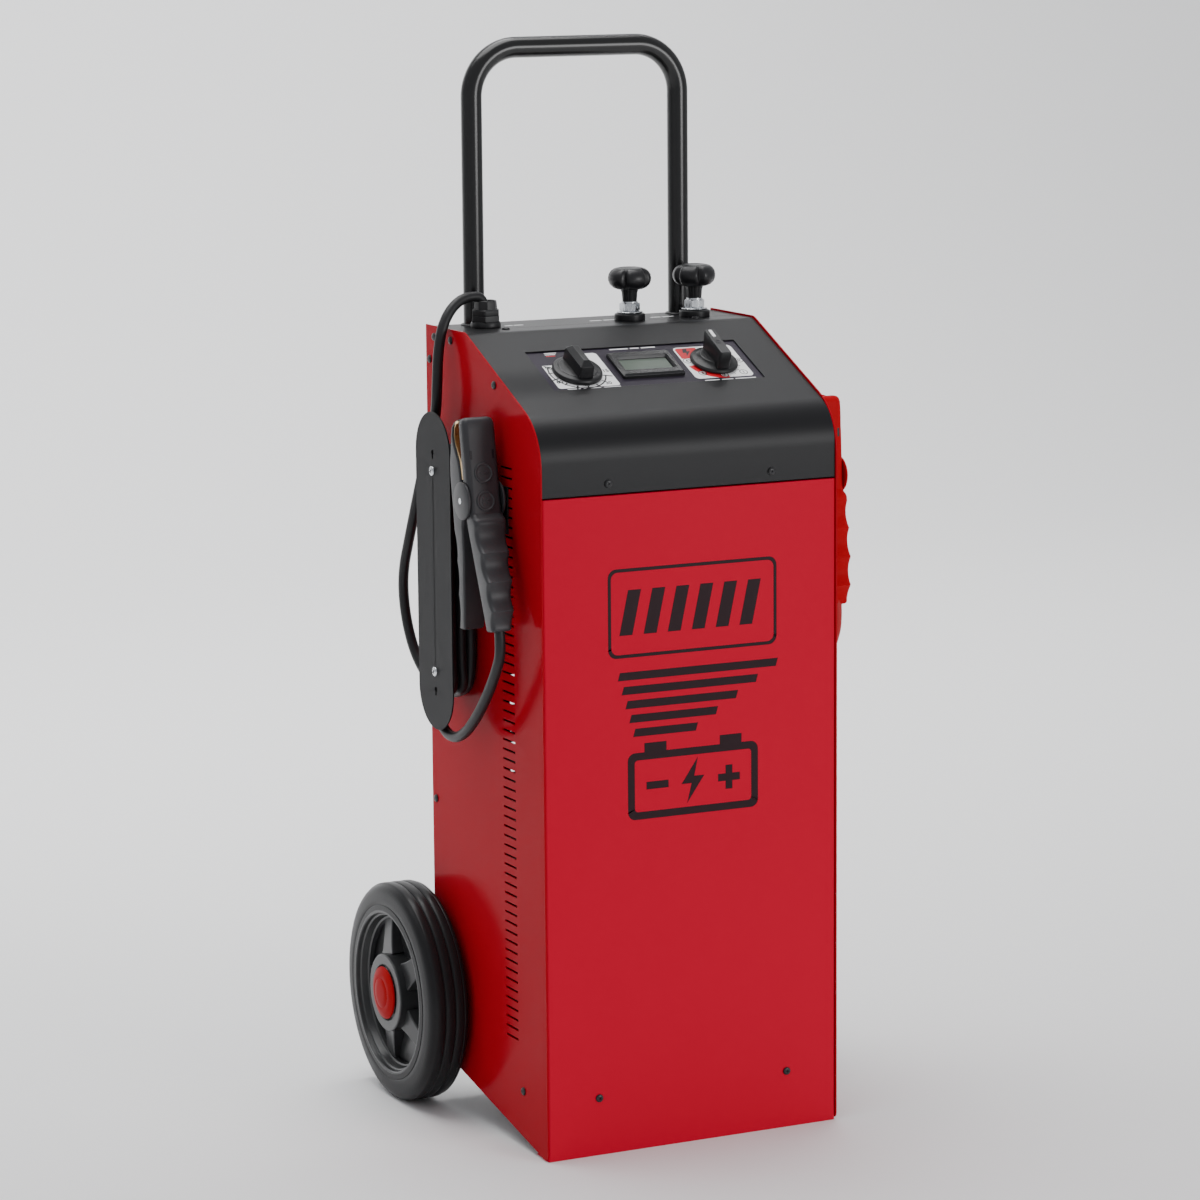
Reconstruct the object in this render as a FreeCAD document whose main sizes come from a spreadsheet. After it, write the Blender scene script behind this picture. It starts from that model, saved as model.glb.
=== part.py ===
"""Upright trolley battery charger and starter: a sheet-metal cabinet on two rear wheels.

X runs to the right as seen from the front, Y runs to the back and Z runs up, in millimetres.
The origin is the middle of the flat floor flange folded under the front panel, on the floor.
"""
import FreeCAD
import Part
import math
import os
import Sketcher

os.makedirs("parts", exist_ok=True)
doc = FreeCAD.newDocument("battery_charger")
Vector = FreeCAD.Vector
X_AXIS = Vector(1, 0, 0)
Y_AXIS = Vector(0, 1, 0)
Z_AXIS = Vector(0, 0, 1)

# ---------------------------------------------------------------- driving dimensions
DIMENSIONS = (
    ("cabinet_width", 320.0, "over both side panels"),
    ("cabinet_depth", 265.0, "front edge to back edge of a side panel"),
    ("cabinet_height", 793.0, "floor to the top edge of a side panel"),
    ("base_rise", 56.0, "height of the side panels' bottom edge at the back"),
    ("sheet_gauge", 1.5, "thickness of the steel sheet"),
    ("flange_depth", 14.0, "depth of the folded flanges"),
    ("panel_setback", 1.0, "front and rear panels behind the side panels' edges"),
    ("foot_depth", 30.0, "depth of the floor flange"),
    ("side_gap", 0.1, "gap between a side panel and what it closes"),
    ("top_depth", 93.0, "depth of the flat top"),
    ("slope_angle", 24.8, "control slope from horizontal, degrees"),
    ("brow_radius", 60.0, "bend below the control slope"),
    ("crown_radius", 20.0, "bend above the control slope"),
    ("toe_radius", 6.0, "front bottom corner of a side panel"),
    ("hood_setback", 2.0, "hood surface inside the side panels' edges"),
    ("hood_bottom", 650.0, "height of the hood's front edge"),
    ("seam_gap", 1.5, "gap between the hood and the front panel"),
    ("hood_flange", 18.0, "depth of the hood's side flanges"),
    ("slot_count", 60.0, "vent slots in each side panel"),
    ("slot_pitch", 9.55, "spacing of the vent slots"),
    ("slot_length", 28.0, "length of a vent slot"),
    ("slot_height", 2.2, "height of a vent slot"),
    ("slot_front", 64.5, "front edge of a side panel to the slots"),
    ("slot_bottom", 106.5, "floor to the lowest slot"),
    ("screw_radius", 2.0, "M4 panel screw"),
    ("screw_head", 4.0, "radius of a panel screw's head"),
    ("screw_dome", 2.2, "height of a panel screw's head"),
    ("screw_length", 7.0, "length of a panel screw under its head"),
    ("screw_play", 0.1, "radial gap round a screw"),
    ("front_screw_spread", 103.5, "middle to the screws at the front's foot"),
    ("hood_screw_spread", 88.0, "middle to the screws in the hood's front"),
    ("crown_screw_spread", 105.0, "middle to the screws in the flat top"),
    ("shelf_height", 66.0, "floor to the top of the transformer shelf"),
    ("shelf_flange", 15.0, "depth of the shelf's flanges"),
    ("handle_spread", 114.0, "middle to the middle of a handle leg"),
    ("handle_inset", 15.0, "back edge to the middle of a handle leg"),
    ("handle_height", 1064.0, "floor to the middle of the handle's bar"),
    ("handle_bend", 48.0, "bend radius on the handle's middle line"),
    ("handle_foot", 560.0, "floor to the lower ends of the handle"),
    ("tube_radius", 10.5, "outside radius of the handle tube"),
    ("tube_wall", 2.0, "wall of the handle tube"),
    ("handle_bolt_radius", 4.0, "M8 handle bolt"),
    ("handle_bolt_low", 600.0, "floor to the lower handle bolts"),
    ("handle_bolt_high", 740.0, "floor to the upper handle bolts"),
    ("label_width", 229.0, "window for the control label"),
    ("label_height", 73.0, "window for the control label, along the slope"),
    ("label_thickness", 1.0, "control label and its backing plate"),
    ("label_overlap", 5.0, "label under the hood past its window"),
    ("label_x", 3.0, "middle of the cabinet to the label's middle"),
    ("label_centre", 112.5, "foot of the slope to the label's middle"),
    ("timer_x", -73.5, "middle to the timer's axis"),
    ("timer_up", 107.5, "foot of the slope to the timer's axis"),
    ("selector_x", 77.5, "middle to the selector's axis"),
    ("selector_up", 111.0, "foot of the slope to the selector's axis"),
    ("meter_up", 112.4, "foot of the slope to the meter's middle"),
    ("meter_width", 66.0, "meter bezel"),
    ("meter_height", 44.0, "meter bezel, along the slope"),
    ("meter_rise", 5.0, "meter bezel above the label"),
    ("meter_window_width", 51.0, "meter window"),
    ("meter_window_height", 21.0, "meter window, along the slope"),
    ("shaft_radius", 3.0, "knob shafts"),
    ("shaft_play", 0.05, "running clearance of shafts, pins and wheels"),
    ("dial_radius", 25.0, "skirt of the timer and selector knobs"),
    ("terminal_back", 53.0, "back edge to the terminals' axes"),
    ("terminal_low_x", 40.0, "middle to the low-voltage terminal"),
    ("terminal_high_x", 113.0, "middle to the high-voltage terminal"),
    ("stud_radius", 5.0, "M10 terminal stud"),
    ("insulator_radius", 15.5, "terminal insulator"),
    ("insulator_height", 8.0, "terminal insulator above the hood"),
    ("nut_flats", 18.0, "terminal nut across its flats"),
    ("nut_height", 8.0, "terminal nut"),
    ("lug_washer_thickness", 1.5, "washer that the knob presses down"),
    ("knob_radius", 22.0, "lobed terminal knob"),
    ("knob_stem_height", 12.0, "stem of the lobed knob"),
    ("knob_head_height", 22.0, "head of the lobed knob"),
    ("gland_back", 43.0, "back edge to the lead gland's axis"),
    ("gland_x", -114.0, "middle to the lead gland's axis"),
    ("lead_radius", 5.25, "output lead"),
    ("wheel_radius", 111.5, "outside of the tyre"),
    ("wheel_width", 42.0, "width of the tyre"),
    ("rim_radius", 84.0, "seat of the tyre on the rim"),
    ("rim_wall", 3.0, "rim of the wheel"),
    ("hub_radius", 40.0, "disc round the wheel's hub"),
    ("axle_radius", 8.0, "axle rod"),
    ("axle_behind", 13.0, "back edge to the axle's middle"),
    ("wheel_gap", 5.0, "side panel to the tyre"),
    ("cap_radius", 27.0, "hub cap"),
    ("wrap_standoff", 35.0, "side panel to the cable-wrap plate"),
    ("wrap_plate_width", 82.0, "cable-wrap plate"),
    ("wrap_plate_length", 315.0, "cable-wrap plate"),
    ("wrap_y", 170.0, "front edge to the cable-wrap plate's middle"),
    ("wrap_height", 560.0, "floor to the cable-wrap plate's middle"),
    ("wrap_reach", 99.5, "plate's middle to each winding post"),
    ("wrap_post_radius", 14.4, "winding post"),
    ("winding_radius", 20.0, "winding's middle line round a post"),
    ("winding_turns", 3.0, "turns of lead on each wrap"),
    ("clamp_width", 34.0, "clamp across its jaws"),
    ("clamp_stand", 8.0, "side panel to the clamp"),
    ("clamp_height", 641.0, "floor to the clamp's pivot"),
    ("black_clamp_y", 85.0, "front edge to the black clamp's pivot"),
    ("black_clamp_tilt", 10.0, "lean of the black clamp, degrees"),
    ("red_clamp_y", 76.0, "front edge to the red clamp's pivot"),
    ("red_clamp_tilt", 3.0, "lean of the red clamp, degrees"),
    ("clamp_pin_radius", 3.0, "clamp pivot pin"),
)

sheet = doc.addObject("Spreadsheet::Sheet", "dims")
for row, (alias, value, meaning) in enumerate(DIMENSIONS, 1):
    sheet.set("A%d" % row, alias)
    sheet.set("B%d" % row, str(value))
    sheet.set("C%d" % row, meaning)
    sheet.setAlias("B%d" % row, alias)
doc.recompute()


class Size:
    """A length together with the sheet expression that gives it."""

    def __init__(self, value, text):
        self.value = value
        self.text = text

    def __add__(self, other):
        other = as_size(other)
        return Size(self.value + other.value, "(%s + %s)" % (self.text, other.text))

    def __sub__(self, other):
        other = as_size(other)
        return Size(self.value - other.value, "(%s - %s)" % (self.text, other.text))

    def __mul__(self, other):
        other = as_size(other)
        return Size(self.value * other.value, "(%s * %s)" % (self.text, other.text))

    def __truediv__(self, other):
        other = as_size(other)
        return Size(self.value / other.value, "(%s / %s)" % (self.text, other.text))

    def __neg__(self):
        return Size(-self.value, "(0 - %s)" % self.text)

    def __radd__(self, other):
        return as_size(other) + self

    def __rsub__(self, other):
        return as_size(other) - self

    def __rmul__(self, other):
        return as_size(other) * self


def as_size(value):
    """A plain number as a Size."""
    if isinstance(value, Size):
        return value
    return Size(float(value), "(%r)" % float(value))


def dim(alias):
    """The Size held by one cell of the sheet."""
    return Size(float(sheet.get(alias)), "dims.%s" % alias)


def tangent(angle):
    return Size(math.tan(math.radians(angle.value)), "tan(%s * 1 deg)" % angle.text)


def sine(angle):
    return Size(math.sin(math.radians(angle.value)), "sin(%s * 1 deg)" % angle.text)


def cosine(angle):
    return Size(math.cos(math.radians(angle.value)), "cos(%s * 1 deg)" % angle.text)


# ---------------------------------------------------------------- building blocks
def bind(item, prop, size):
    """Tie one property of an object to the sheet."""
    item.setExpression(prop, as_size(size).text)


def place(item, x=0, y=0, z=0, axis=None, angle=0):
    """Put an object at a point, turned about an axis through that point."""
    if axis is not None:
        item.Placement = FreeCAD.Placement(Vector(), FreeCAD.Rotation(axis, as_size(angle).value))
        if isinstance(angle, Size):
            item.setExpression("Placement.Rotation.Angle", angle.text + " * 1 deg")
    for base, size in (("x", x), ("y", y), ("z", z)):
        bind(item, "Placement.Base." + base, size)
    return item


def box(name, x_range, y_range, z_range):
    """A block between two positions on each axis."""
    item = doc.addObject("Part::Box", name)
    lows = []
    for prop, (low, high) in (("Length", x_range), ("Width", y_range), ("Height", z_range)):
        bind(item, prop, as_size(high) - as_size(low))
        lows.append(low)
    return place(item, *lows)


def cylinder(name, direction, start, radius, length):
    """A round bar from a start point along +X, +Y or +Z."""
    item = doc.addObject("Part::Cylinder", name)
    bind(item, "Radius", radius)
    bind(item, "Height", length)
    turns = {"x": (Y_AXIS, 90), "y": (X_AXIS, -90), "z": (None, 0)}
    axis, angle = turns[direction]
    return place(item, *start, axis=axis, angle=angle)


def cone(name, direction, start, radius_1, radius_2, length):
    """A tapered bar from a start point along +X, +Y or +Z."""
    item = doc.addObject("Part::Cone", name)
    bind(item, "Radius1", radius_1)
    bind(item, "Radius2", radius_2)
    bind(item, "Height", length)
    turns = {"x": (Y_AXIS, 90), "y": (X_AXIS, -90), "z": (None, 0)}
    axis, angle = turns[direction]
    return place(item, *start, axis=axis, angle=angle)


def prism(name, sides, direction, start, across_corners, length):
    """A regular prism, such as a hexagon nut, from a start point along an axis."""
    item = doc.addObject("Part::Prism", name)
    item.Polygon = sides
    bind(item, "Circumradius", as_size(across_corners) / 2)
    bind(item, "Height", length)
    turns = {"x": (Y_AXIS, 90), "y": (X_AXIS, -90), "z": (None, 0)}
    axis, angle = turns[direction]
    return place(item, *start, axis=axis, angle=angle)


def fuse(name, parts):
    item = doc.addObject("Part::MultiFuse", name)
    item.Shapes = parts
    item.Refine = True
    return item


def group(name, parts):
    """Separate solids that share one node."""
    item = doc.addObject("Part::Compound", name)
    item.Links = parts
    return item


def cut(name, base, tools):
    item = doc.addObject("Part::Cut", name)
    item.Base = base
    item.Tool = tools[0] if len(tools) == 1 else group(name + "_tools", tools)
    return item


def mirrored(name, source):
    """A copy on the other side of the YZ plane."""
    item = doc.addObject("Part::Mirroring", name)
    item.Source = source
    item.Base = Vector()
    item.Normal = X_AXIS
    return item


def new_body(name):
    return doc.addObject("PartDesign::Body", name)


def new_sketch(body, role, name):
    """An empty sketch on one of a body's own origin planes."""
    sketch = body.newObject("Sketcher::SketchObject", name)
    plane = [item for item in body.Origin.OriginFeatures if item.Role == role][0]
    sketch.AttachmentSupport = [(plane, "")]
    sketch.MapMode = "FlatFace"
    return sketch


def pin_point(sketch, geometry, place_on_it, point):
    """Hold one sketch point at a distance from the origin, each way."""
    for kind, size in zip(("DistanceX", "DistanceY"), point):
        size = as_size(size)
        index = sketch.addConstraint(
            Sketcher.Constraint(kind, -1, 1, geometry, place_on_it, size.value))
        sketch.setExpression("Constraints[%d]" % index, size.text)


def polygon(sketch, points):
    """A closed outline with straight sides."""
    flat = [Vector(as_size(a).value, as_size(b).value, 0) for a, b in points]
    first = sketch.GeometryCount
    count = len(flat)
    for index in range(count):
        sketch.addGeometry(Part.LineSegment(flat[index], flat[(index + 1) % count]), False)
    for index in range(count):
        following = first + (index + 1) % count
        sketch.addConstraint(
            Sketcher.Constraint("Coincident", first + index, 2, following, 1))
        pin_point(sketch, first + index, 1, points[index])
    return sketch


def circle(sketch, centre, radius):
    radius = as_size(radius)
    middle = Vector(as_size(centre[0]).value, as_size(centre[1]).value, 0)
    index = sketch.addGeometry(Part.Circle(middle, Z_AXIS, radius.value), False)
    pin_point(sketch, index, 3, centre)
    ring = sketch.addConstraint(Sketcher.Constraint("Radius", index, radius.value))
    sketch.setExpression("Constraints[%d]" % ring, radius.text)
    return sketch


def pad(body, sketch, length, side="One side", back=False):
    item = body.newObject("PartDesign::Pad", sketch.Name + "_pad")
    item.Profile = sketch
    item.SideType = side
    item.Reversed = back
    bind(item, "Length", length)
    return item


def pocket(body, sketch, length, side="One side", back=False):
    item = body.newObject("PartDesign::Pocket", sketch.Name + "_pocket")
    item.Profile = sketch
    item.SideType = side
    item.Reversed = back
    bind(item, "Length", length)
    return item


def revolve(body, sketch, axis_role):
    item = body.newObject("PartDesign::Revolution", sketch.Name + "_turned")
    item.Profile = sketch
    axis = [line for line in body.Origin.OriginFeatures if line.Role == axis_role][0]
    item.ReferenceAxis = (axis, [""])
    item.Angle = 360
    return item


def fillet(body, feature, radius, picks):
    """Round the edges of a feature that pass the test."""
    doc.recompute()
    names = ["Edge%d" % (i + 1) for i, edge in enumerate(feature.Shape.Edges) if picks(edge)]
    item = body.newObject("PartDesign::Fillet", feature.Name + "_round")
    item.Base = (feature, names)
    bind(item, "Radius", radius)
    return item


def runs_along_x_at(y, z):
    """A test for the straight edges parallel to X through a point."""
    y = as_size(y).value
    z = as_size(z).value

    def test(edge):
        middle = edge.BoundBox.Center
        straight = edge.BoundBox.YLength < 1e-6 and edge.BoundBox.ZLength < 1e-6
        return straight and abs(middle.y - y) < 1e-4 and abs(middle.z - z) < 1e-4

    return test


nodes = []


def keep(item, label):
    """Name a finished sub-part; the label is its file's name."""
    item.Label = label
    nodes.append(item)
    return item


# ---------------------------------------------------------------- shared positions
gauge = dim("sheet_gauge")
flange = dim("flange_depth")
setback = dim("panel_setback")
half_width = dim("cabinet_width") / 2
inside = half_width - gauge - dim("side_gap")
front = -(setback + dim("foot_depth") / 2)
back = front + dim("cabinet_depth")
top = dim("cabinet_height")
hood_top = top - dim("hood_setback")
slope = dim("slope_angle")
slope_run = dim("cabinet_depth") - dim("top_depth")
slope_foot = top - slope_run * tangent(slope)
axle_y = back + dim("axle_behind")
axle_z = dim("wheel_radius")
gap = dim("side_gap")


def from_front(distance):
    return front + distance


def slope_height(y, drop=0):
    """Height of the control slope above a point, less a drop square to the slope."""
    return slope_foot + (y - front) * tangent(slope) - as_size(drop) / cosine(slope)


def on_slope(up, rise=0):
    """Y and Z of a point on the hood's slope, some way up it and some way off it.

    Distances up the slope start where the slope's plane meets the front."""
    lift = as_size(rise) - dim("hood_setback")
    y = front + as_size(up) * cosine(slope) - lift * sine(slope)
    z = slope_foot + as_size(up) * sine(slope) + lift * cosine(slope)
    return y, z


def tilt_to_slope(item, x, up, rise=0):
    """Turn an upright object square to the slope and set it down on it."""
    y, z = on_slope(up, rise)
    return place(item, x, y, z, axis=X_AXIS, angle=slope)


# ---------------------------------------------------------------- panel screws
def side_screw_points():
    """Y and Z of the screws in each side panel."""
    depth = dim("cabinet_depth")
    mid_slope = from_front(102.5)
    return [
        (from_front(depth - 21), top - 11),
        (from_front(depth - 61), top - 11),
        (mid_slope, slope_height(mid_slope, 11.5)),
        (from_front(depth - 9.5), top - 34),
        (from_front(depth - 9.5), as_size(313)),
        (from_front(53.5), dim("shelf_height") - 7.5),
    ]


def front_screw_points():
    """X and Z of the screws through the front panel into the shelf."""
    z = dim("shelf_height") - 8.5
    return [(-dim("front_screw_spread"), z), (dim("front_screw_spread"), z)]


def hood_screw_points():
    """X and Z of the screws through the hood's front edge."""
    z = dim("hood_bottom") + 10
    return [(-dim("hood_screw_spread"), z), (dim("hood_screw_spread"), z)]


def crown_screw_points():
    """X and Y of the screws in the hood's flat top."""
    y = back - 71
    return [(-dim("crown_screw_spread"), y), (dim("crown_screw_spread"), y)]


HOLE = dim("screw_radius") + dim("screw_play")


def holes(name, direction, points, start, length):
    """Drills for screws; the points give the two coordinates square to the direction."""
    tools = []
    for index, (a, b) in enumerate(points):
        where = {"x": (start, a, b), "y": (a, start, b), "z": (a, b, start)}[direction]
        tools.append(cylinder("%s_%d" % (name, index), direction, where, HOLE, length))
    return tools


def screw(name, direction, seat, sign):
    """A pan-head screw whose head sits on a face; sign is the way the head points."""
    x, y, z = seat
    order = {"x": 0, "y": 1, "z": 2}[direction]

    def shifted(amount):
        point = [as_size(x), as_size(y), as_size(z)]
        point[order] = point[order] + amount
        return point

    dome = dim("screw_dome")
    head_start = shifted(0) if sign > 0 else shifted(-dome)
    shank_start = shifted(-dim("screw_length")) if sign > 0 else shifted(0)
    wide = dim("screw_head")
    narrow = wide * 0.62
    radii = (wide, narrow) if sign > 0 else (narrow, wide)
    head = cone(name + "_head", direction, head_start, radii[0], radii[1], dome)
    shank = cylinder(name + "_shank", direction, shank_start, dim("screw_radius"),
                     dim("screw_length"))
    return fuse(name, [head, shank])


# ---------------------------------------------------------------- cabinet
def side_profile():
    """Outline of a side panel in the YZ plane."""
    return [
        (front, as_size(0)),
        (back, dim("base_rise")),
        (back, top),
        (back - dim("top_depth"), top),
        (front, slope_foot),
    ]


def side_panel(label, sign):
    body = new_body(label + "_sheet")
    outline = polygon(new_sketch(body, "YZ_Plane", label + "_outline"), side_profile())
    feature = pad(body, outline, gauge)
    feature = fillet(body, feature, dim("brow_radius"), runs_along_x_at(front, slope_foot))
    feature = fillet(body, feature, dim("crown_radius"),
                     runs_along_x_at(back - dim("top_depth"), top))
    feature = fillet(body, feature, dim("toe_radius"), runs_along_x_at(front, 0))
    slot_y = front + dim("slot_front")
    slot_z = dim("slot_bottom")
    slot = polygon(new_sketch(body, "YZ_Plane", label + "_slot"), [
        (slot_y, slot_z),
        (slot_y + dim("slot_length"), slot_z),
        (slot_y + dim("slot_length"), slot_z + dim("slot_height")),
        (slot_y, slot_z + dim("slot_height")),
    ])
    slot_cut = pocket(body, slot, gauge, back=True)
    rows = body.newObject("PartDesign::LinearPattern", label + "_slots")
    rows.Originals = [slot_cut]
    rows.Direction = (slot, ["V_Axis"])
    bind(rows, "Length", dim("slot_pitch") * (dim("slot_count") - 1))
    bind(rows, "Occurrences", dim("slot_count"))
    body.Tip = rows
    left_face = -half_width if sign < 0 else half_width - gauge
    place(body, x=left_face)
    tools = holes(label + "_hole", "x", side_screw_points(), left_face - 1, gauge + 2)
    keep(cut(label, body, tools), label)


def front_panel():
    """Face, side flanges, top lip and floor flange, folded from one sheet."""
    face = front + setback
    lid = dim("hood_bottom") - dim("seam_gap")
    parts = [
        box("front_face", (-inside, inside), (face, face + gauge), (0, lid)),
        box("front_left_flange", (-inside, gauge - inside), (face, face + flange), (0, lid)),
        box("front_right_flange", (inside - gauge, inside), (face, face + flange), (0, lid)),
        box("front_lip", (-inside, inside), (face, face + flange), (lid - gauge, lid)),
        box("front_foot", (-inside, inside), (face, face + dim("foot_depth")), (0, gauge)),
    ]
    tools = holes("front_hole", "y", front_screw_points(), face - 1, gauge + 2)
    keep(cut("front_panel_part", fuse("front_folds", parts), tools), "front_panel")


def rear_panel():
    """Back sheet with side flanges, drilled for the handle bolts and the mains gland."""
    face = back - setback
    low = dim("base_rise") + 2
    high = hood_top - dim("hood_flange") - 1
    tongue = inside - gauge - gap
    parts = [
        box("rear_face", (-inside, inside), (face - gauge, face), (low, high)),
        box("rear_tongue", (-tongue, tongue), (face - gauge, face),
            (high, hood_top - flange - gap)),
        box("rear_left_flange", (-inside, gauge - inside), (face - flange, face), (low, high)),
        box("rear_right_flange", (inside - gauge, inside), (face - flange, face), (low, high)),
        box("rear_foot", (-inside, inside), (face - flange, face), (low, low + gauge)),
    ]
    tools = holes("rear_side_hole", "x", side_screw_points()[3:5], -half_width,
                  half_width * 2)
    for x in (-dim("handle_spread"), dim("handle_spread")):
        for z in (dim("handle_bolt_low"), dim("handle_bolt_high")):
            tools.append(cylinder("rear_bolt_hole", "y", (x, face - gauge - 1, z),
                                  dim("handle_bolt_radius") + gap, gauge + 2))
    tools.append(cylinder("mains_hole", "y", (MAINS_X, face - gauge - 1, MAINS_Z),
                          MAINS_THREAD + gap, gauge + 2))
    for x, z in bracket_screw_points():
        tools.append(cylinder("bracket_hole", "y", (x, face - gauge - 1, z), HOLE, gauge + 2))
    for x, z in standoff_points():
        tools.append(cylinder("standoff_hole", "y", (x, face - gauge - 1, z), HOLE, gauge + 2))
    for column in (-60, -20, 20, 60):
        for level in range(8):
            low_slot = 330 + level * 14
            tools.append(box("rear_slot", (column - 14, column + 14),
                             (face - gauge - 1, face + 1), (low_slot, low_slot + 3)))
    keep(cut("rear_panel_part", fuse("rear_folds", parts), tools), "rear_panel")


def base_shelf():
    """Horizontal shelf for the transformer, with flanges folded down."""
    high = dim("shelf_height")
    low = high - dim("shelf_flange")
    face = front + setback + gauge + gap
    rear = back - setback - gauge - gap
    edge = inside - gauge - gap
    side_end = from_front(225)
    ledge_start = front + setback + flange + 1
    side_start = ledge_start
    parts = [
        box("shelf_plate", (-edge, edge), (face, rear), (high - gauge, high)),
        box("shelf_front", (-edge, edge), (face, face + gauge), (low, high)),
        box("shelf_left", (-inside, gauge - inside), (side_start, side_end), (low, high)),
        box("shelf_right", (inside - gauge, inside), (side_start, side_end), (low, high)),
        box("shelf_left_web", (-inside, -edge), (side_start, side_end), (high - gauge, high)),
        box("shelf_right_web", (edge, inside), (side_start, side_end), (high - gauge, high)),
    ]
    tools = holes("shelf_side_hole", "x", side_screw_points()[5:6], -half_width,
                  half_width * 2)
    tools += holes("shelf_front_hole", "y", front_screw_points(), face - 1, gauge + 2)
    notch = [
        box("shelf_left_notch", (-inside - 1, gauge - inside + gap),
            (rear - flange - gauge, rear + 1), (low, high + 1)),
        box("shelf_right_notch", (inside - gauge - gap, inside + 1),
            (rear - flange - gauge, rear + 1), (low, high + 1)),
    ]
    keep(cut("base_shelf_part", fuse("shelf_folds", parts), tools + notch), "base_shelf")


def hood_outline(drop):
    """Hood surface in the YZ plane from the apron's edge to the back, moved inwards by a drop."""
    lowered = as_size(drop) + dim("hood_setback")
    top_z = top - lowered
    face = front + lowered
    corner_z = slope_height(face, lowered)
    bend_y = front + (top_z - slope_foot + lowered / cosine(slope)) / tangent(slope)
    return face, corner_z, bend_y, top_z


def hood():
    """Flat top, control slope and apron in one bent sheet with side and back flanges."""
    body = new_body("hood_sheet")
    depth = dim("hood_flange")
    low = dim("hood_bottom")
    rear = back - setback

    def band(name, outer_drop, inner_drop):
        face, corner, bend, lid = hood_outline(outer_drop)
        inner_face, inner_corner, inner_bend, inner_lid = hood_outline(inner_drop)
        return polygon(new_sketch(body, "YZ_Plane", name), [
            (face, low), (face, corner), (bend, lid), (rear, lid),
            (rear, inner_lid), (inner_bend, inner_lid), (inner_face, inner_corner),
            (inner_face, low),
        ])

    shell = pad(body, band("hood_band", 0, depth), inside * 2, side="Symmetric")
    face, corner, bend, lid = hood_outline(0)
    tight = dim("hood_setback")
    feature = fillet(body, shell, dim("brow_radius") - tight, runs_along_x_at(face, corner))
    feature = fillet(body, feature, dim("crown_radius") - tight, runs_along_x_at(bend, lid))
    hollow = band_tool("hood_hollow", low, rear)
    back_flange = box("hood_back_flange", (-inside, inside), (rear - gauge, rear),
                      (hood_top - flange, hood_top))
    shaped = fuse("hood_folds", [cut("hood_shell", body, [hollow]), back_flange])
    window = slope_block("hood_window", centred(dim("label_x"), dim("label_width")),
                         centred(dim("label_centre"), dim("label_height")), (-3, 1))
    tools = [window]
    for x in (-dim("handle_spread"), dim("handle_spread")):
        tools.append(cylinder("hood_leg_hole", "z", (x, back - dim("handle_inset"), top - 40),
                              dim("tube_radius") + 0.5, 60))
    for x in (dim("terminal_low_x"), dim("terminal_high_x")):
        tools.append(cylinder("hood_stud_hole", "z", (x, back - dim("terminal_back"), top - 20),
                              dim("stud_radius") + 4 + gap, 40))
    tools.append(cylinder("hood_gland_hole", "z",
                          (dim("gland_x"), back - dim("gland_back"), top - 20),
                          GLAND_THREAD + gap, 40))
    tools += holes("hood_side_hole", "x", side_screw_points()[0:3], -half_width,
                   half_width * 2)
    tools += holes("hood_front_hole", "y", hood_screw_points(), front - 1, 8)
    tools += holes("hood_crown_hole", "z", crown_screw_points(), top - 12, 20)
    seam = back - 62
    tools.append(box("hood_seam", (-inside - 1, inside + 1), (seam, seam + 0.5),
                     (hood_top - 0.5, hood_top + 1)))
    keep(cut("hood_part", shaped, tools), "hood")


def band_tool(name, low, rear):
    """Space inside the hood's sheet, between its side flanges."""
    body = new_body(name)
    face, corner, bend, lid = hood_outline(gauge)
    deep = dim("hood_flange") + 10
    inner_face, inner_corner, inner_bend, inner_lid = hood_outline(deep)
    sketch = polygon(new_sketch(body, "YZ_Plane", name + "_outline"), [
        (face, low - 1), (face, corner), (bend, lid), (rear + 1, lid),
        (rear + 1, inner_lid), (inner_bend, inner_lid), (inner_face, inner_corner),
        (inner_face, low - 1),
    ])
    feature = pad(body, sketch, (inside - gauge) * 2, side="Symmetric")
    tight = dim("hood_setback") + gauge
    feature = fillet(body, feature, dim("brow_radius") - tight, runs_along_x_at(face, corner))
    feature = fillet(body, feature, dim("crown_radius") - tight, runs_along_x_at(bend, lid))
    body.Tip = feature
    return body


# ---------------------------------------------------------------- control panel
def control_label():
    """Printed label on a backing plate, behind the window in the hood."""
    face = label_face()
    plate = slope_block(
        "label_plate", centred(dim("label_x"), dim("label_width") + dim("label_overlap") * 2),
        centred(dim("label_centre"), dim("label_height") + dim("label_overlap") * 2),
        (face - dim("label_thickness"), face))
    tools = [slope_bar("label_shaft_hole", x, up, (-12, 8), dim("shaft_radius") + 0.5)
             for x, up in knob_axes()]
    tools.append(slope_block("label_meter_opening",
                             centred(dim("label_x"), dim("meter_width") - 6),
                             centred(dim("meter_up"), dim("meter_height") - 6), (-12, 8)))
    keep(cut("control_label_part", plate, tools), "control_label")


def label_face():
    """Height of the label's face against the hood's surface."""
    return -gauge


def knob_axes():
    return [(dim("timer_x"), dim("timer_up")), (dim("selector_x"), dim("selector_up"))]


def slope_block(name, x_range, up_range, rise_range):
    """A block square to the slope."""
    item = box(name, (0, as_size(x_range[1]) - x_range[0]),
               (0, as_size(up_range[1]) - up_range[0]),
               (0, as_size(rise_range[1]) - rise_range[0]))
    y, z = on_slope(up_range[0], rise_range[0])
    return place(item, x_range[0], y, z, axis=X_AXIS, angle=slope)


def slope_bar(name, x, up, rise_range, radius):
    """A round bar square to the slope."""
    item = doc.addObject("Part::Cylinder", name)
    bind(item, "Radius", radius)
    bind(item, "Height", as_size(rise_range[1]) - rise_range[0])
    return tilt_to_slope(item, x, up, rise_range[0])


def centred(middle, width):
    return (middle - width / 2, middle + width / 2)


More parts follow.
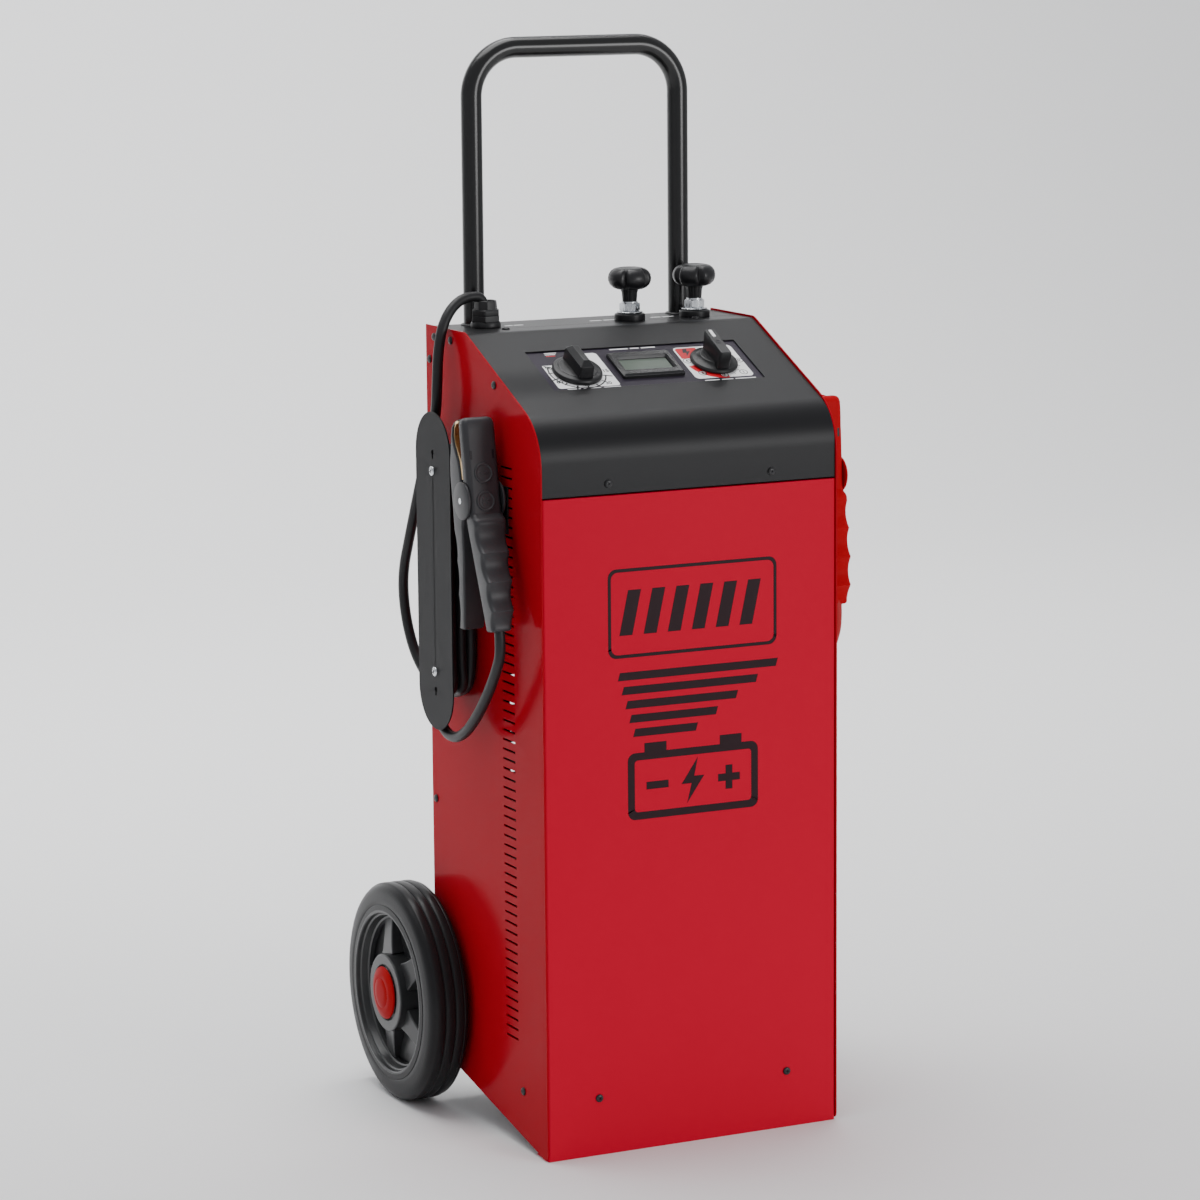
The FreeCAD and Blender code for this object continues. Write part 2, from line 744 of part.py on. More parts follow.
def meter():
    face = label_face()
    up = dim("meter_up")
    wide = dim("meter_width")
    tall = dim("meter_height")
    window_wide = dim("meter_window_width")
    window_tall = dim("meter_window_height")
    middle = dim("label_x")
    rise = face + dim("meter_rise")
    frame = slope_block("bezel_frame", centred(middle, wide), centred(up, tall), (face, rise))
    neck = slope_block("bezel_neck", centred(middle, wide - 7), centred(up, tall - 7),
                       (face - 9, face))
    hole = slope_block("bezel_hole", centred(middle, window_wide), centred(up, window_tall),
                       (face - 10, rise + 1))
    seat = slope_block("bezel_seat", centred(middle, window_wide + 4),
                       centred(up, window_tall + 4), (face - 10, face + 1))
    keep(cut("meter_bezel_part", fuse("bezel_solid", [frame, neck]), [hole, seat]),
         "meter_bezel")
    keep(slope_block("meter_window_part", centred(middle, window_wide + 3.8),
                     centred(up, window_tall + 3.8), (face - 0.9, face + 0.9)), "meter_window")
    display = slope_block("meter_display", centred(middle, window_wide + 3.6),
                          centred(up, window_tall + 3.6), (face - 5, face - 1.1))
    board = slope_block("meter_board", centred(middle, wide - 8), centred(up, tall - 8),
                        (face - 11, face - 9.2))
    link = slope_block("meter_link", centred(middle, window_wide - 10),
                       centred(up, window_tall - 6), (face - 9.2, face - 5))
    keep(fuse("meter_module_part", [display, board, link]), "meter_module")


def dial_knob(label, x, up, skirt_height, grip_length, grip_width, grip_height):
    """A skirted bar knob on its shaft, square to the slope."""
    face = label_face()
    clear = 1.0
    radius = dim("dial_radius")
    skirt = cone(label + "_skirt", "z", (0, 0, clear), radius, radius * 0.9, skirt_height)
    length = as_size(grip_length)
    width = as_size(grip_width)
    base = as_size(clear) + skirt_height
    grip_box = box(label + "_grip", centred(as_size(0), width), centred(as_size(0), length),
                   (base, base + grip_height))
    rounding = doc.addObject("Part::Chamfer", label + "_grip_chamfer")
    doc.recompute()
    rounding.Base = grip_box
    rounding.Edges = [(i + 1, 2.5, 2.5) for i, edge in enumerate(grip_box.Shape.Edges)
                      if edge.BoundBox.ZMin > base.value + 1]
    shaft = cylinder(label + "_shaft", "z", (0, 0, -16), dim("shaft_radius"), 16 + clear)
    knob = fuse(label + "_solid", [skirt, rounding, shaft])
    doc.recompute()
    turned = doc.addObject("Part::Feature", label + "_part")
    turned.Shape = knob.Shape.copy()
    tilt = FreeCAD.Rotation(X_AXIS, slope.value)
    y, z = on_slope(up, face)
    turned.Placement = FreeCAD.Placement(Vector(x.value, y.value, z.value), tilt)
    return keep(turned, label)


def controls():
    face = label_face()
    under = face - dim("label_thickness") - gap
    for label, (x, up), size_x, size_y, depth in (
            ("timer_body", knob_axes()[0], 46, 46, 38),
            ("selector_body", knob_axes()[1], 54, 54, 62)):
        block = slope_block(label + "_block", centred(x, as_size(size_x)),
                            centred(up, as_size(size_y)), (under - depth, under))
        bore = slope_bar(label + "_bore", x, up, (face - 17, face + 1),
                         dim("shaft_radius") + dim("shaft_play"))
        keep(cut(label + "_part", block, [bore]), label)
    dial_knob("timer_knob", dim("timer_x"), dim("timer_up"), 5, 42, 14, 17)
    dial_knob("selector_knob", dim("selector_x"), dim("selector_up"), 4, 48, 14, 20)


# ---------------------------------------------------------------- handle
def handle():
    """U of round tube, open at its lower ends inside the cabinet."""
    body = new_body("handle_tube_bent")
    spread = dim("handle_spread")
    bend = dim("handle_bend")
    low = dim("handle_foot")
    high = dim("handle_height")
    path = new_sketch(body, "XZ_Plane", "handle_path")
    turn = spread - bend
    level = high - bend
    marks = [(-spread, low), (-spread, level), (-turn, high), (turn, high), (spread, level),
             (spread, low)]
    flat = [Vector(a.value, b.value, 0) for a, b in marks]
    path.addGeometry(Part.LineSegment(flat[0], flat[1]), False)
    path.addGeometry(Part.ArcOfCircle(Part.Circle(
        Vector(-turn.value, level.value, 0), Z_AXIS, bend.value), math.pi / 2, math.pi), False)
    path.addGeometry(Part.LineSegment(flat[2], flat[3]), False)
    path.addGeometry(Part.ArcOfCircle(Part.Circle(
        Vector(turn.value, level.value, 0), Z_AXIS, bend.value), 0, math.pi / 2), False)
    path.addGeometry(Part.LineSegment(flat[4], flat[5]), False)
    for first, first_end, second, second_end in (
            (0, 2, 1, 2), (1, 1, 2, 1), (2, 2, 3, 2), (3, 1, 4, 1)):
        path.addConstraint(
            Sketcher.Constraint("Coincident", first, first_end, second, second_end))
    for geometry, end, point in (
            (0, 1, marks[0]), (0, 2, marks[1]), (2, 1, marks[2]), (2, 2, marks[3]),
            (4, 1, marks[4]), (4, 2, marks[5])):
        pin_point(path, geometry, end, point)
    for geometry in (1, 3):
        index = path.addConstraint(Sketcher.Constraint("Radius", geometry, bend.value))
        path.setExpression("Constraints[%d]" % index, bend.text)
    section = new_sketch(body, "XY_Plane", "handle_section")
    section.setExpression("AttachmentOffset.Base.z", low.text)
    circle(section, (-spread, as_size(0)), dim("tube_radius"))
    circle(section, (-spread, as_size(0)), dim("tube_radius") - dim("tube_wall"))
    doc.recompute()
    pipe = body.newObject("PartDesign::AdditivePipe", "handle_pipe")
    pipe.Profile = section
    pipe.Spine = (path, ["Edge%d" % (i + 1) for i in range(5)])
    leg_y = back - dim("handle_inset")
    place(body, y=leg_y)
    tools = []
    for x in (-spread, spread):
        for z in (dim("handle_bolt_low"), dim("handle_bolt_high")):
            tools.append(cylinder("handle_bolt_hole", "y", (x, leg_y - 20, z),
                                  dim("handle_bolt_radius") + gap, 40))
    keep(cut("handle_tube_part", body, tools), "handle_tube")
    bolts = []
    face = back - setback
    bolt = dim("handle_bolt_radius")
    for side, x in (("left", -spread), ("right", spread)):
        for level_name, z in (("low", dim("handle_bolt_low")), ("high", dim("handle_bolt_high"))):
            name = "handle_bolt_%s_%s" % (side, level_name)
            nut_face = leg_y - dim("tube_radius")
            head = prism(name + "_head", 6, "y", (x, face, z), 15, 5.5)
            shank = cylinder(name + "_shank", "y", (x, nut_face - 9, z), bolt,
                             face - nut_face + 9.5)
            bolts.append(fuse(name, [head, shank]))
            blank = prism(name + "_nut_blank", 6, "y", (x, nut_face - 6.5, z), 15, 6.5)
            bore = cylinder(name + "_nut_bore", "y", (x, nut_face - 7, z), bolt, 8)
            bolts.append(cut(name + "_nut", blank, [bore]))
    keep(group("handle_bolts_group", bolts), "handle_bolts")


# ---------------------------------------------------------------- terminals and glands
GLAND_THREAD = as_size(10)
MAINS_THREAD = as_size(8)
MAINS_X = as_size(-95)
MAINS_Z = as_size(190)


def terminals():
    insulators = []
    studs = []
    nuts = []
    y = back - dim("terminal_back")
    lift = dim("insulator_height")
    stud = dim("stud_radius")
    washer = as_size(1.6)
    nut = dim("nut_height")
    corners = dim("nut_flats") / 0.8660254
    for side, x in (("low", dim("terminal_low_x")), ("high", dim("terminal_high_x"))):
        name = "terminal_" + side
        collar = cone(name + "_collar", "z", (x, y, hood_top), dim("insulator_radius"),
                      dim("insulator_radius") - 1, lift)
        spigot = cylinder(name + "_spigot", "z", (x, y, hood_top - gauge - 6), stud + 4,
                          gauge + 6)
        bore = cylinder(name + "_bore", "z", (x, y, hood_top - 30), stud, 60)
        insulators.append(cut(name + "_insulator", fuse(name + "_bush", [collar, spigot]), [bore]))
        rod_top = lift + washer + nut + dim("lug_washer_thickness") + dim("knob_stem_height") + 6
        studs.append(cylinder(name + "_stud", "z", (x, y, hood_top - 35), stud, rod_top + 35))
        disc = cylinder(name + "_disc", "z", (x, y, hood_top + lift), as_size(13), washer)
        blank = prism(name + "_nut_blank", 6, "z", (x, y, hood_top + lift + washer), corners, nut)
        hole = cylinder(name + "_nut_hole", "z", (x, y, hood_top + lift - 1), stud,
                        washer + nut + 2)
        nuts.append(cut(name + "_nut", fuse(name + "_nut_solid", [disc, blank]), [hole]))
        seat = hood_top + lift + washer + nut
        lug_washer(side, x, y, seat)
        lobed_knob(side, x, y, seat + dim("lug_washer_thickness"))
    keep(group("terminal_insulators_group", insulators), "terminal_insulators")
    keep(group("terminal_studs_group", studs), "terminal_studs")
    keep(group("terminal_nuts_group", nuts), "terminal_nuts")


def lug_washer(side, x, y, z):
    """Loose washer under the knob, which lifts with it to take a cable lug."""
    name = side + "_voltage_washer"
    disc = cylinder(name + "_disc", "z", (x, y, z), as_size(8.2), dim("lug_washer_thickness"))
    hole = cylinder(name + "_hole", "z", (x, y, z - 1), dim("stud_radius") + dim("shaft_play"),
                    dim("lug_washer_thickness") + 2)
    keep(cut(name + "_part", disc, [hole]), name)


def lobed_knob(side, x, y, z):
    """Four-lobed hand knob with a tapered stem."""
    name = side + "_voltage_knob"
    stem_height = dim("knob_stem_height")
    stem = cone(name + "_stem", "z", (x, y, z), as_size(7.6), as_size(8.6), stem_height + 1)
    base = z + stem_height
    radius = dim("knob_radius")
    lobe = as_size(9)
    reach = radius - lobe
    parts = [stem, cylinder(name + "_core", "z", (x, y, base), reach,
                            dim("knob_head_height"))]
    for index, (step_x, step_y) in enumerate(((1, 0), (0, 1), (-1, 0), (0, -1))):
        angle = math.radians(20)
        turn_x = step_x * math.cos(angle) - step_y * math.sin(angle)
        turn_y = step_x * math.sin(angle) + step_y * math.cos(angle)
        parts.append(cylinder("%s_lobe_%d" % (name, index), "z",
                              (x + reach * turn_x, y + reach * turn_y, base), lobe,
                              dim("knob_head_height")))
    solid = fuse(name + "_solid", parts)
    bore = cylinder(name + "_bore", "z", (x, y, z - 1), dim("stud_radius") + dim("shaft_play"),
                    stem_height + 8)
    egg = doc.addObject("Part::Ellipsoid", name + "_egg")
    bind(egg, "Radius1", dim("knob_head_height") / 2 + 2)
    bind(egg, "Radius2", radius + 1)
    bind(egg, "Radius3", radius + 1)
    place(egg, x, y, base + dim("knob_head_height") / 2)
    keeper = fuse(name + "_keeper", [egg, cylinder(name + "_stem_zone", "z", (x, y, z - 1),
                                                   as_size(9), stem_height + 3)])
    crowned = doc.addObject("Part::MultiCommon", name + "_crowned")
    crowned.Shapes = [solid, keeper]
    keep(cut(name + "_part", crowned, [bore]), name)


def lead_gland():
    """Moulded gland on the flat top that the black lead comes out of."""
    x = dim("gland_x")
    y = back - dim("gland_back")
    hole_radius = dim("lead_radius") + 0.1
    parts = [
        prism("gland_flange", 6, "z", (x, y, hood_top), 31, 6),
        prism("gland_hex", 6, "z", (x, y, hood_top + 6), 28, 6),
        cylinder("gland_thread", "z", (x, y, hood_top - gauge - 12), GLAND_THREAD, gauge + 12),
    ]
    nut = cut("gland_nut", prism("gland_nut_blank", 6, "z", (x, y, hood_top - gauge - 5), 28, 5),
              [cylinder("gland_nut_bore", "z", (x, y, hood_top - gauge - 6), GLAND_THREAD, 7)])
    bore = cylinder("gland_bore", "z", (x, y, hood_top - 20), hole_radius, 60)
    body = cut("gland_body_solid", fuse("gland_body_blank", parts), [bore])
    keep(group("lead_gland_body_group", [body, nut]), "lead_gland_body")
    cap_parts = [
        prism("gland_cap_hex", 6, "z", (x, y, hood_top + 12), 28, 6),
        cone("gland_cap_cone", "z", (x, y, hood_top + 18), as_size(11), as_size(10.2), 9),
    ]
    mouth = cone("gland_mouth", "z", (x, y, hood_top + 16), hole_radius, as_size(9.3), 11.2)
    keep(cut("lead_gland_cap_part", fuse("gland_cap_blank", cap_parts),
             [cylinder("gland_cap_bore", "z", (x, y, hood_top - 20), hole_radius, 60), mouth]),
         "lead_gland_cap")


def mains_gland():
    """Inlet gland for the mains lead, low on the rear panel."""
    face = back - setback
    parts = [
        prism("mains_hex", 6, "y", (MAINS_X, face, MAINS_Z), 26, 6),
        cone("mains_cap", "y", (MAINS_X, face + 6, MAINS_Z), as_size(10), as_size(8), 12),
        cylinder("mains_thread", "y", (MAINS_X, face - gauge - 10, MAINS_Z), MAINS_THREAD,
                 gauge + 10),
    ]
    bore = cylinder("mains_bore", "y", (MAINS_X, face - 20, MAINS_Z), as_size(4.5), 50)
    body = cut("mains_gland_solid", fuse("mains_gland_blank", parts), [bore])
    nut = cut("mains_nut", prism("mains_nut_blank", 6, "y",
                                 (MAINS_X, face - gauge - 5, MAINS_Z), 24, 5),
              [cylinder("mains_nut_bore", "y", (MAINS_X, face - gauge - 6, MAINS_Z),
                        MAINS_THREAD, 7)])
    keep(group("mains_gland_group", [body, nut]), "mains_gland")


def panel_screws():
    """All the black pan-head screws."""
    screws = []
    for side, sign in (("left", -1), ("right", 1)):
        for index, (y, z) in enumerate(side_screw_points()):
            seat = (half_width * sign, y, z)
            screws.append(screw("%s_screw_%d" % (side, index), "x", seat, sign))
    for index, (x, z) in enumerate(front_screw_points()):
        screws.append(screw("front_screw_%d" % index, "y", (x, front + setback, z), -1))
    for index, (x, z) in enumerate(hood_screw_points()):
        seat = (x, front + dim("hood_setback"), z)
        screws.append(screw("hood_screw_%d" % index, "y", seat, -1))
    for index, (x, y) in enumerate(crown_screw_points()):
        screws.append(screw("crown_screw_%d" % index, "z", (x, y, hood_top), 1))
    for index, (x, z) in enumerate(standoff_points()):
        screws.append(screw("standoff_screw_%d" % index, "y", (x, back - setback, z), 1))
    keep(group("panel_screws_group", screws), "panel_screws")


# ---------------------------------------------------------------- running gear
BRACKET_SHEET = as_size(3)
BRACKET_X = as_size(140)


def bracket_screw_points():
    """X and Z of the screws that hold the axle brackets to the rear panel."""
    return [(x, z) for x in (-BRACKET_X + 9, BRACKET_X - 9) for z in (axle_z + 10, axle_z + 110)]


def axle():
    half = half_width + dim("wheel_gap") + dim("wheel_width") + 3
    rod = cylinder("axle_part", "x", (-half, axle_y, axle_z), dim("axle_radius"), half * 2)
    keep(rod, "axle")
    face = back - setback
    brackets = []
    for side, sign in (("left", -1), ("right", 1)):
        name = side + "_axle_bracket"
        body = new_body(name + "_cheek")
        low_x = -BRACKET_X if sign < 0 else BRACKET_X - BRACKET_SHEET
        polygon_points = [
            (face, axle_z + 125), (face, axle_z - 38), (axle_y - 12, axle_z - 38),
            (axle_y + 15, axle_z - 14), (axle_y + 15, axle_z + 14), (face + 6, axle_z + 125),
        ]
        cheek = pad(body, polygon(new_sketch(body, "YZ_Plane", name + "_outline"),
                                  polygon_points), BRACKET_SHEET)
        body.Tip = cheek
        place(body, x=low_x)
        inner = (low_x, low_x + 20) if sign < 0 else (low_x + BRACKET_SHEET - 20,
                                                      low_x + BRACKET_SHEET)
        foot = box(name + "_foot", inner, (face, face + BRACKET_SHEET),
                   (axle_z - 38, axle_z + 125))
        tools = [cylinder(name + "_bore", "x", (low_x - 5, axle_y, axle_z), dim("axle_radius"),
                          20)]
        for x, z in bracket_screw_points():
            if x.value * sign > 0:
                tools.append(cylinder(name + "_hole", "y", (x, face - 1, z), HOLE, 6))
        brackets.append(cut(name, fuse(name + "_solid", [body, foot]), tools))
    for index, (x, z) in enumerate(bracket_screw_points()):
        seat = (x, face + BRACKET_SHEET, z)
        brackets.append(screw("bracket_screw_%d" % index, "y", seat, 1))
    keep(group("axle_brackets_group", brackets), "axle_brackets")


def wheel(side, sign):
    width = dim("wheel_width")
    inner = half_width + dim("wheel_gap")
    outer = inner + width
    radius = dim("wheel_radius")
    seat = dim("rim_radius")
    body = new_body(side + "_tyre_body")
    shoulder = as_size(7)
    section = polygon(new_sketch(body, "XY_Plane", side + "_tyre_section"), [
        (inner, seat), (inner, radius - shoulder), (inner + shoulder * 0.5, radius - 1.5),
        (inner + shoulder, radius), (outer - shoulder, radius),
        (outer - shoulder * 0.5, radius - 1.5), (outer, radius - shoulder),
        (outer + 2, seat + 6), (outer + 2, seat)])
    revolve(body, section, "X_Axis")
    place(body, y=axle_y, z=axle_z)
    tyre = body
    rim_body = new_body(side + "_rim_body")
    wall = dim("rim_wall")
    well = outer - 14
    hub = dim("hub_radius")
    bore = dim("axle_radius") + dim("shaft_play")
    rim_section = polygon(new_sketch(rim_body, "XY_Plane", side + "_rim_section"), [
        (inner + 1, seat), (inner + 1, seat - wall), (well - 10, seat - wall),
        (well - 10, hub), (inner, hub - 6), (inner, bore), (outer - 3, bore),
        (outer - 3, 24), (outer + 4, 28), (outer + 4, hub), (outer - 4, hub),
        (well + 2, seat - wall), (outer + 2, seat - wall), (outer + 2, seat)])
    revolve(rim_body, rim_section, "X_Axis")
    place(rim_body, y=axle_y, z=axle_z)
    windows = []
    for index in range(5):
        angle = math.radians(72 * index + 180)
        window_body = new_body("%s_window_%d" % (side, index))
        near = hub + 5
        far = seat - wall - 4
        spread_near = math.radians(18)
        spread_far = math.radians(28)
        points = []
        for reach, turn in ((near, -spread_near), (far, -spread_far), (far, spread_far),
                            (near, spread_near)):
            points.append((reach * math.cos(angle + turn), reach * math.sin(angle + turn)))
        sketch = polygon(new_sketch(window_body, "YZ_Plane", "%s_window_shape_%d" % (side, index)),
                         points)
        pad(window_body, sketch, 40)
        place(window_body, x=well - 8, y=axle_y, z=axle_z)
        windows.append(window_body)
    rim = cut(side + "_rim_solid", rim_body, windows)
    cap_body = new_body(side + "_cap_body")
    cap_radius = dim("cap_radius")
    cap_section = polygon(new_sketch(cap_body, "XY_Plane", side + "_cap_section"), [
        (outer + 4.2, 0), (outer + 4.2, cap_radius), (outer + 6, cap_radius),
        (outer + 8.2, cap_radius - 3.5), (outer + 9.4, cap_radius - 12), (outer + 9.6, 0)])
    revolve(cap_body, cap_section, "X_Axis")
    place(cap_body, y=axle_y, z=axle_z)
    for item, label in ((tyre, side + "_tyre"), (rim, side + "_rim"),
                        (cap_body, side + "_hub_cap")):
        keep(item if sign > 0 else mirrored(label + "_part", item), label)


# ---------------------------------------------------------------- cable wraps
def wraps():
    stand = dim("wrap_standoff")
    wide = dim("wrap_plate_width") / 2
    reach = dim("wrap_plate_length") / 2 - wide
    y = from_front(dim("wrap_y"))
    middle = dim("wrap_height")
    plates = []
    posts = []
    fixings = []
    for side, sign in (("left", -1), ("right", 1)):
        inner = half_width + stand
        plate_x = inner if sign > 0 else -inner - gauge
        name = side + "_wrap_plate"
        blank = fuse(name + "_blank", [
            box(name + "_web", (plate_x, plate_x + gauge), (y - wide, y + wide),
                (middle - reach, middle + reach)),
            cylinder(name + "_top", "x", (plate_x, y, middle + reach), wide, gauge),
            cylinder(name + "_bottom", "x", (plate_x, y, middle - reach), wide, gauge),
        ])
        tools = []
        for level, z in (("high", middle + dim("wrap_reach")), ("low", middle - dim("wrap_reach"))):
            tools.append(cylinder("%s_hole_%s" % (name, level), "x", (plate_x - 1, y, z), HOLE,
                                  gauge + 2))
            post_name = "%s_wrap_post_%s" % (side, level)
            start = half_width if sign > 0 else -inner
            tube = cylinder(post_name + "_bar", "x", (start, y, z), dim("wrap_post_radius"),
                            stand)
            hole_start = inner - 14 if sign > 0 else -inner - 1
            drill = cylinder(post_name + "_drill", "x", (hole_start, y, z), HOLE, 15)
            posts.append(cut(post_name, tube, [drill]))
            face = inner + gauge
            seat = (face if sign > 0 else -face, y, z)
            fixings.append(screw("%s_wrap_screw_%s" % (side, level), "x", seat, sign))
        for level, z in (("high", middle + dim("wrap_reach") + 18),
                         ("low", middle - dim("wrap_reach") - 18)):
            tools.append(cylinder("%s_key_%s" % (name, level), "x", (plate_x - 1, y, z),
                                  as_size(2.6), gauge + 2))
            tools.append(box("%s_keyway_%s" % (name, level), (plate_x - 1, plate_x + gauge + 1),
                             (y - 1.2, y + 1.2), (z - 6, z)))
        plates.append(cut(name, blank, tools))
    keep(group("wrap_plates_group", plates), "wrap_plates")
    keep(group("wrap_posts_group", posts), "wrap_posts")
    keep(group("wrap_screws_group", fixings), "wrap_screws")


def winding(label, sign):
    """Outer shape of the turns of lead round the two posts of a wrap."""
    lead = dim("lead_radius")
    pile = lead * 2 * dim("winding_turns")
    middle_x = half_width + dim("wrap_standoff") / 2
    low_x = middle_x - pile / 2 if sign > 0 else -middle_x - pile / 2
    y = from_front(dim("wrap_y"))
    z = dim("wrap_height")
    reach = dim("wrap_reach")

    def obround(name, radius, start, length):
        return fuse(name, [
            box(name + "_web", (start, start + length), (y - radius, y + radius),
                (z - reach, z + reach)),
            cylinder(name + "_top", "x", (start, y, z + reach), radius, length),
            cylinder(name + "_bottom", "x", (start, y, z - reach), radius, length),
        ])

    outer = obround(label + "_outer", dim("winding_radius") + lead, low_x, pile)
    inner = obround(label + "_inner", dim("winding_radius") - lead, low_x - 1, pile + 2)
    keep(cut(label + "_part", outer, [inner]), label)


# ---------------------------------------------------------------- leads
def lead_tube(label, points):
    """Straight runs joined by tangent arcs, swept with the lead's round section."""
    points = [Vector(*point) for point in points]
    radius = dim("lead_radius").value
    edges = []
    start = points[0]
    smallest = None
    for index in range(1, len(points) - 1):
        before = points[index - 1] - points[index]
        after = points[index + 1] - points[index]
        turn = math.pi - before.getAngle(after)
        run = min(before.Length, after.Length)
        trim = 0.45 * run
        bend = trim / math.tan(turn / 2)
        smallest = bend if smallest is None else min(smallest, bend)
        before.normalize()
        after.normalize()
        arc_start = points[index] + before * trim
        arc_end = points[index] + after * trim
        half = (before + after)
        half.normalize()
        centre_distance = math.hypot(bend, trim)
        arc_middle = points[index] + half * (centre_distance - bend)
        edges.append(Part.LineSegment(start, arc_start).toShape())
        edges.append(Part.Arc(arc_start, arc_middle, arc_end).toShape())
        start = arc_end
    edges.append(Part.LineSegment(start, points[-1]).toShape())
    path = Part.Wire(edges)
    direction = points[1] - points[0]
    disc = Part.Wire([Part.makeCircle(radius, points[0], direction)])
    solid = path.makePipeShell([disc], True, False)
    expected = math.pi * radius ** 2 * path.Length
    print("%s: length %.1f, smallest radius %.1f, volume ratio %.4f"
          % (label, path.Length, smallest, solid.Volume / expected))
    item = doc.addObject("Part::Feature", label + "_part")
    item.Shape = solid
    return keep(item, label)


def from_cabinet(points, sign):
    """Lead points given outwards from a side panel, back from the front edge, and up."""
    edge = half_width.value
    return [((edge + out) * sign, front.value + y, z) for out, y, z in points]


def leads():
    winding("black_lead_winding", -1)
    winding("red_lead_winding", 1)
    gland_x = dim("gland_x").value
    gland_y = (back - dim("gland_back")).value
    roof = hood_top.value
    start = [(gland_x, gland_y, roof + 6), (gland_x, gland_y, roof + 31)]
    over = from_cabinet(BLACK_OVER, -1)
    lead_tube("black_lead_tube", start + over)
    lead_tube("black_lead_tail", from_cabinet(BLACK_TAIL, -1))
    lead_tube("red_lead_tail", from_cabinet(RED_TAIL, 1))
    lead_tube("red_lead_stub", from_cabinet(RED_STUB, 1))


# Points are (out from the side panel, back from the front edge, up), in millimetres.
BLACK_OVER = (
    (-22, 218.7, 822.5), (-5, 213.5, 813), (7.5, 208.5, 795), (13.5, 205, 770),
    (16, 202.5, 741), (16.5, 205, 711), (15.5, 222, 683), (14.5, 243, 652),
    (15.5, 259, 617), (17.5, 273, 580), (19.5, 288, 541), (18.5, 287, 502), (15, 275, 465),
    (11, 253, 441), (8.5, 227, 432), (8.5, 202, 431), (9, 178, 438.5),
)
BLACK_TAIL = (
    (28, 190.2, 470), (28, 191.5, 446), (28.4, 189, 423), (28.2, 175, 403), (27.6, 151, 396),
    (27, 125, 404), (26.4, 98, 424), (25.6, 73, 450), (25.1, 52, 477), (25, 37.4, 503),
    (25, 46.2, 536.4),
)
RED_TAIL = (
    (28, 190.2, 470), (28, 191.5, 446), (28.4, 189, 423), (28.2, 175, 403), (27.6, 151, 396),
    (27, 125, 404), (26.4, 99, 423), (25.6, 75, 449), (25.1, 55, 474), (25, 42.9, 499.8),
    (25, 48.4, 533.3),
)
RED_STUB = (
    (8.5, 176, 683), (8.5, 200, 687), (8.7, 222, 678), (9, 238, 659), (9.3, 245, 634),
    (9.3, 245, 609),
)


def lead_bore(name, points):
    """Blind hole for the end of a lead, in line with its last run."""
    end = Vector(*points[-1])
    along = end - Vector(*points[-2])
    along.normalize()
    item = doc.addObject("Part::Feature", name)
    item.Shape = Part.makeCylinder(dim("lead_radius").value + 0.1, 40, end - along * 40, along)
    return item


def lead_lug():
    """Crimped ring lug on the free end of the red lead."""
    edge = half_width + RED_STUB[-1][0]
    y = from_front(RED_STUB[-1][1])
    z = as_size(RED_STUB[-1][2])
    barrel = cylinder("lug_barrel", "z", (edge, y, z - 26), as_size(6), 26)
    palm = box("lug_palm", (edge - 1.5, edge + 1.5), (y - 8.5, y + 8.5), (z - 40, z - 25))
    ring = cylinder("lug_ring", "x", (edge - 1.5, y, z - 40), as_size(9.5), 3)
    hole = cylinder("lug_hole", "x", (edge - 3, y, z - 40), dim("stud_radius") + 0.3, 6)
    keep(cut("red_lead_lug_part", fuse("lug_solid", [barrel, palm, ring]), [hole]),
         "red_lead_lug")


# ---------------------------------------------------------------- clamps
# Outlines in a clamp's own frame: distance from its middle plane, height over its pivot.
FRONT_SHELL = (
    (1.2, -6), (2.0, 74), (5, 78.5), (10, 79.2), (13.5, 76.5), (14.7, 71), (14.7, -15),
    (23.6, -22), (28.5, -52.8), (34, -82), (35.2, -109), (33, -125), (24, -128), (13.5, -126),
    (8, -70), (3, -28), (2.0, -16),
)
REAR_SHELL = (
    (1.2, -6), (2.5, 18), (4.5, 38), (11.5, 54), (13.3, 63), (11, 71.5), (7.5, 75.5), (8.5, 79),
    (11, 77.8), (15, 70.5), (19.5, 60), (27, 42), (30, 26), (30.5, -14), (33, -52), (42, -90),
    (51, -121), (45, -124), (37, -122), (21, -70), (9, -24), (3.2, -16),
)
JAW_BACK = (
    (4.6, 20.3), (5.6, 39), (13.4, 55), (15.2, 63.5), (12.4, 72), (6.5, 77),
)
JAW_FACE = (
    (0.2, 77), (0.2, 74.6), (5.8, 74.4), (10.4, 70.4), (12.8, 63.5), (11.2, 56), (3.2, 41),
    (0.2, 36), (0.2, 20.3),
)


def jaw_room(label):
    """Seat of the bent rear jaw, open towards the clamp's middle."""
    body = new_body(label)
    outline = [(as_size(-1), as_size(20))] + [(as_size(4.6), as_size(20))] + [
        (as_size(a), as_size(b)) for a, b in JAW_BACK[1:]] + [(as_size(-1), as_size(77.3))]
    pad(body, polygon(new_sketch(body, "YZ_Plane", label + "_outline"), outline), 24,
        side="Symmetric")
    return body


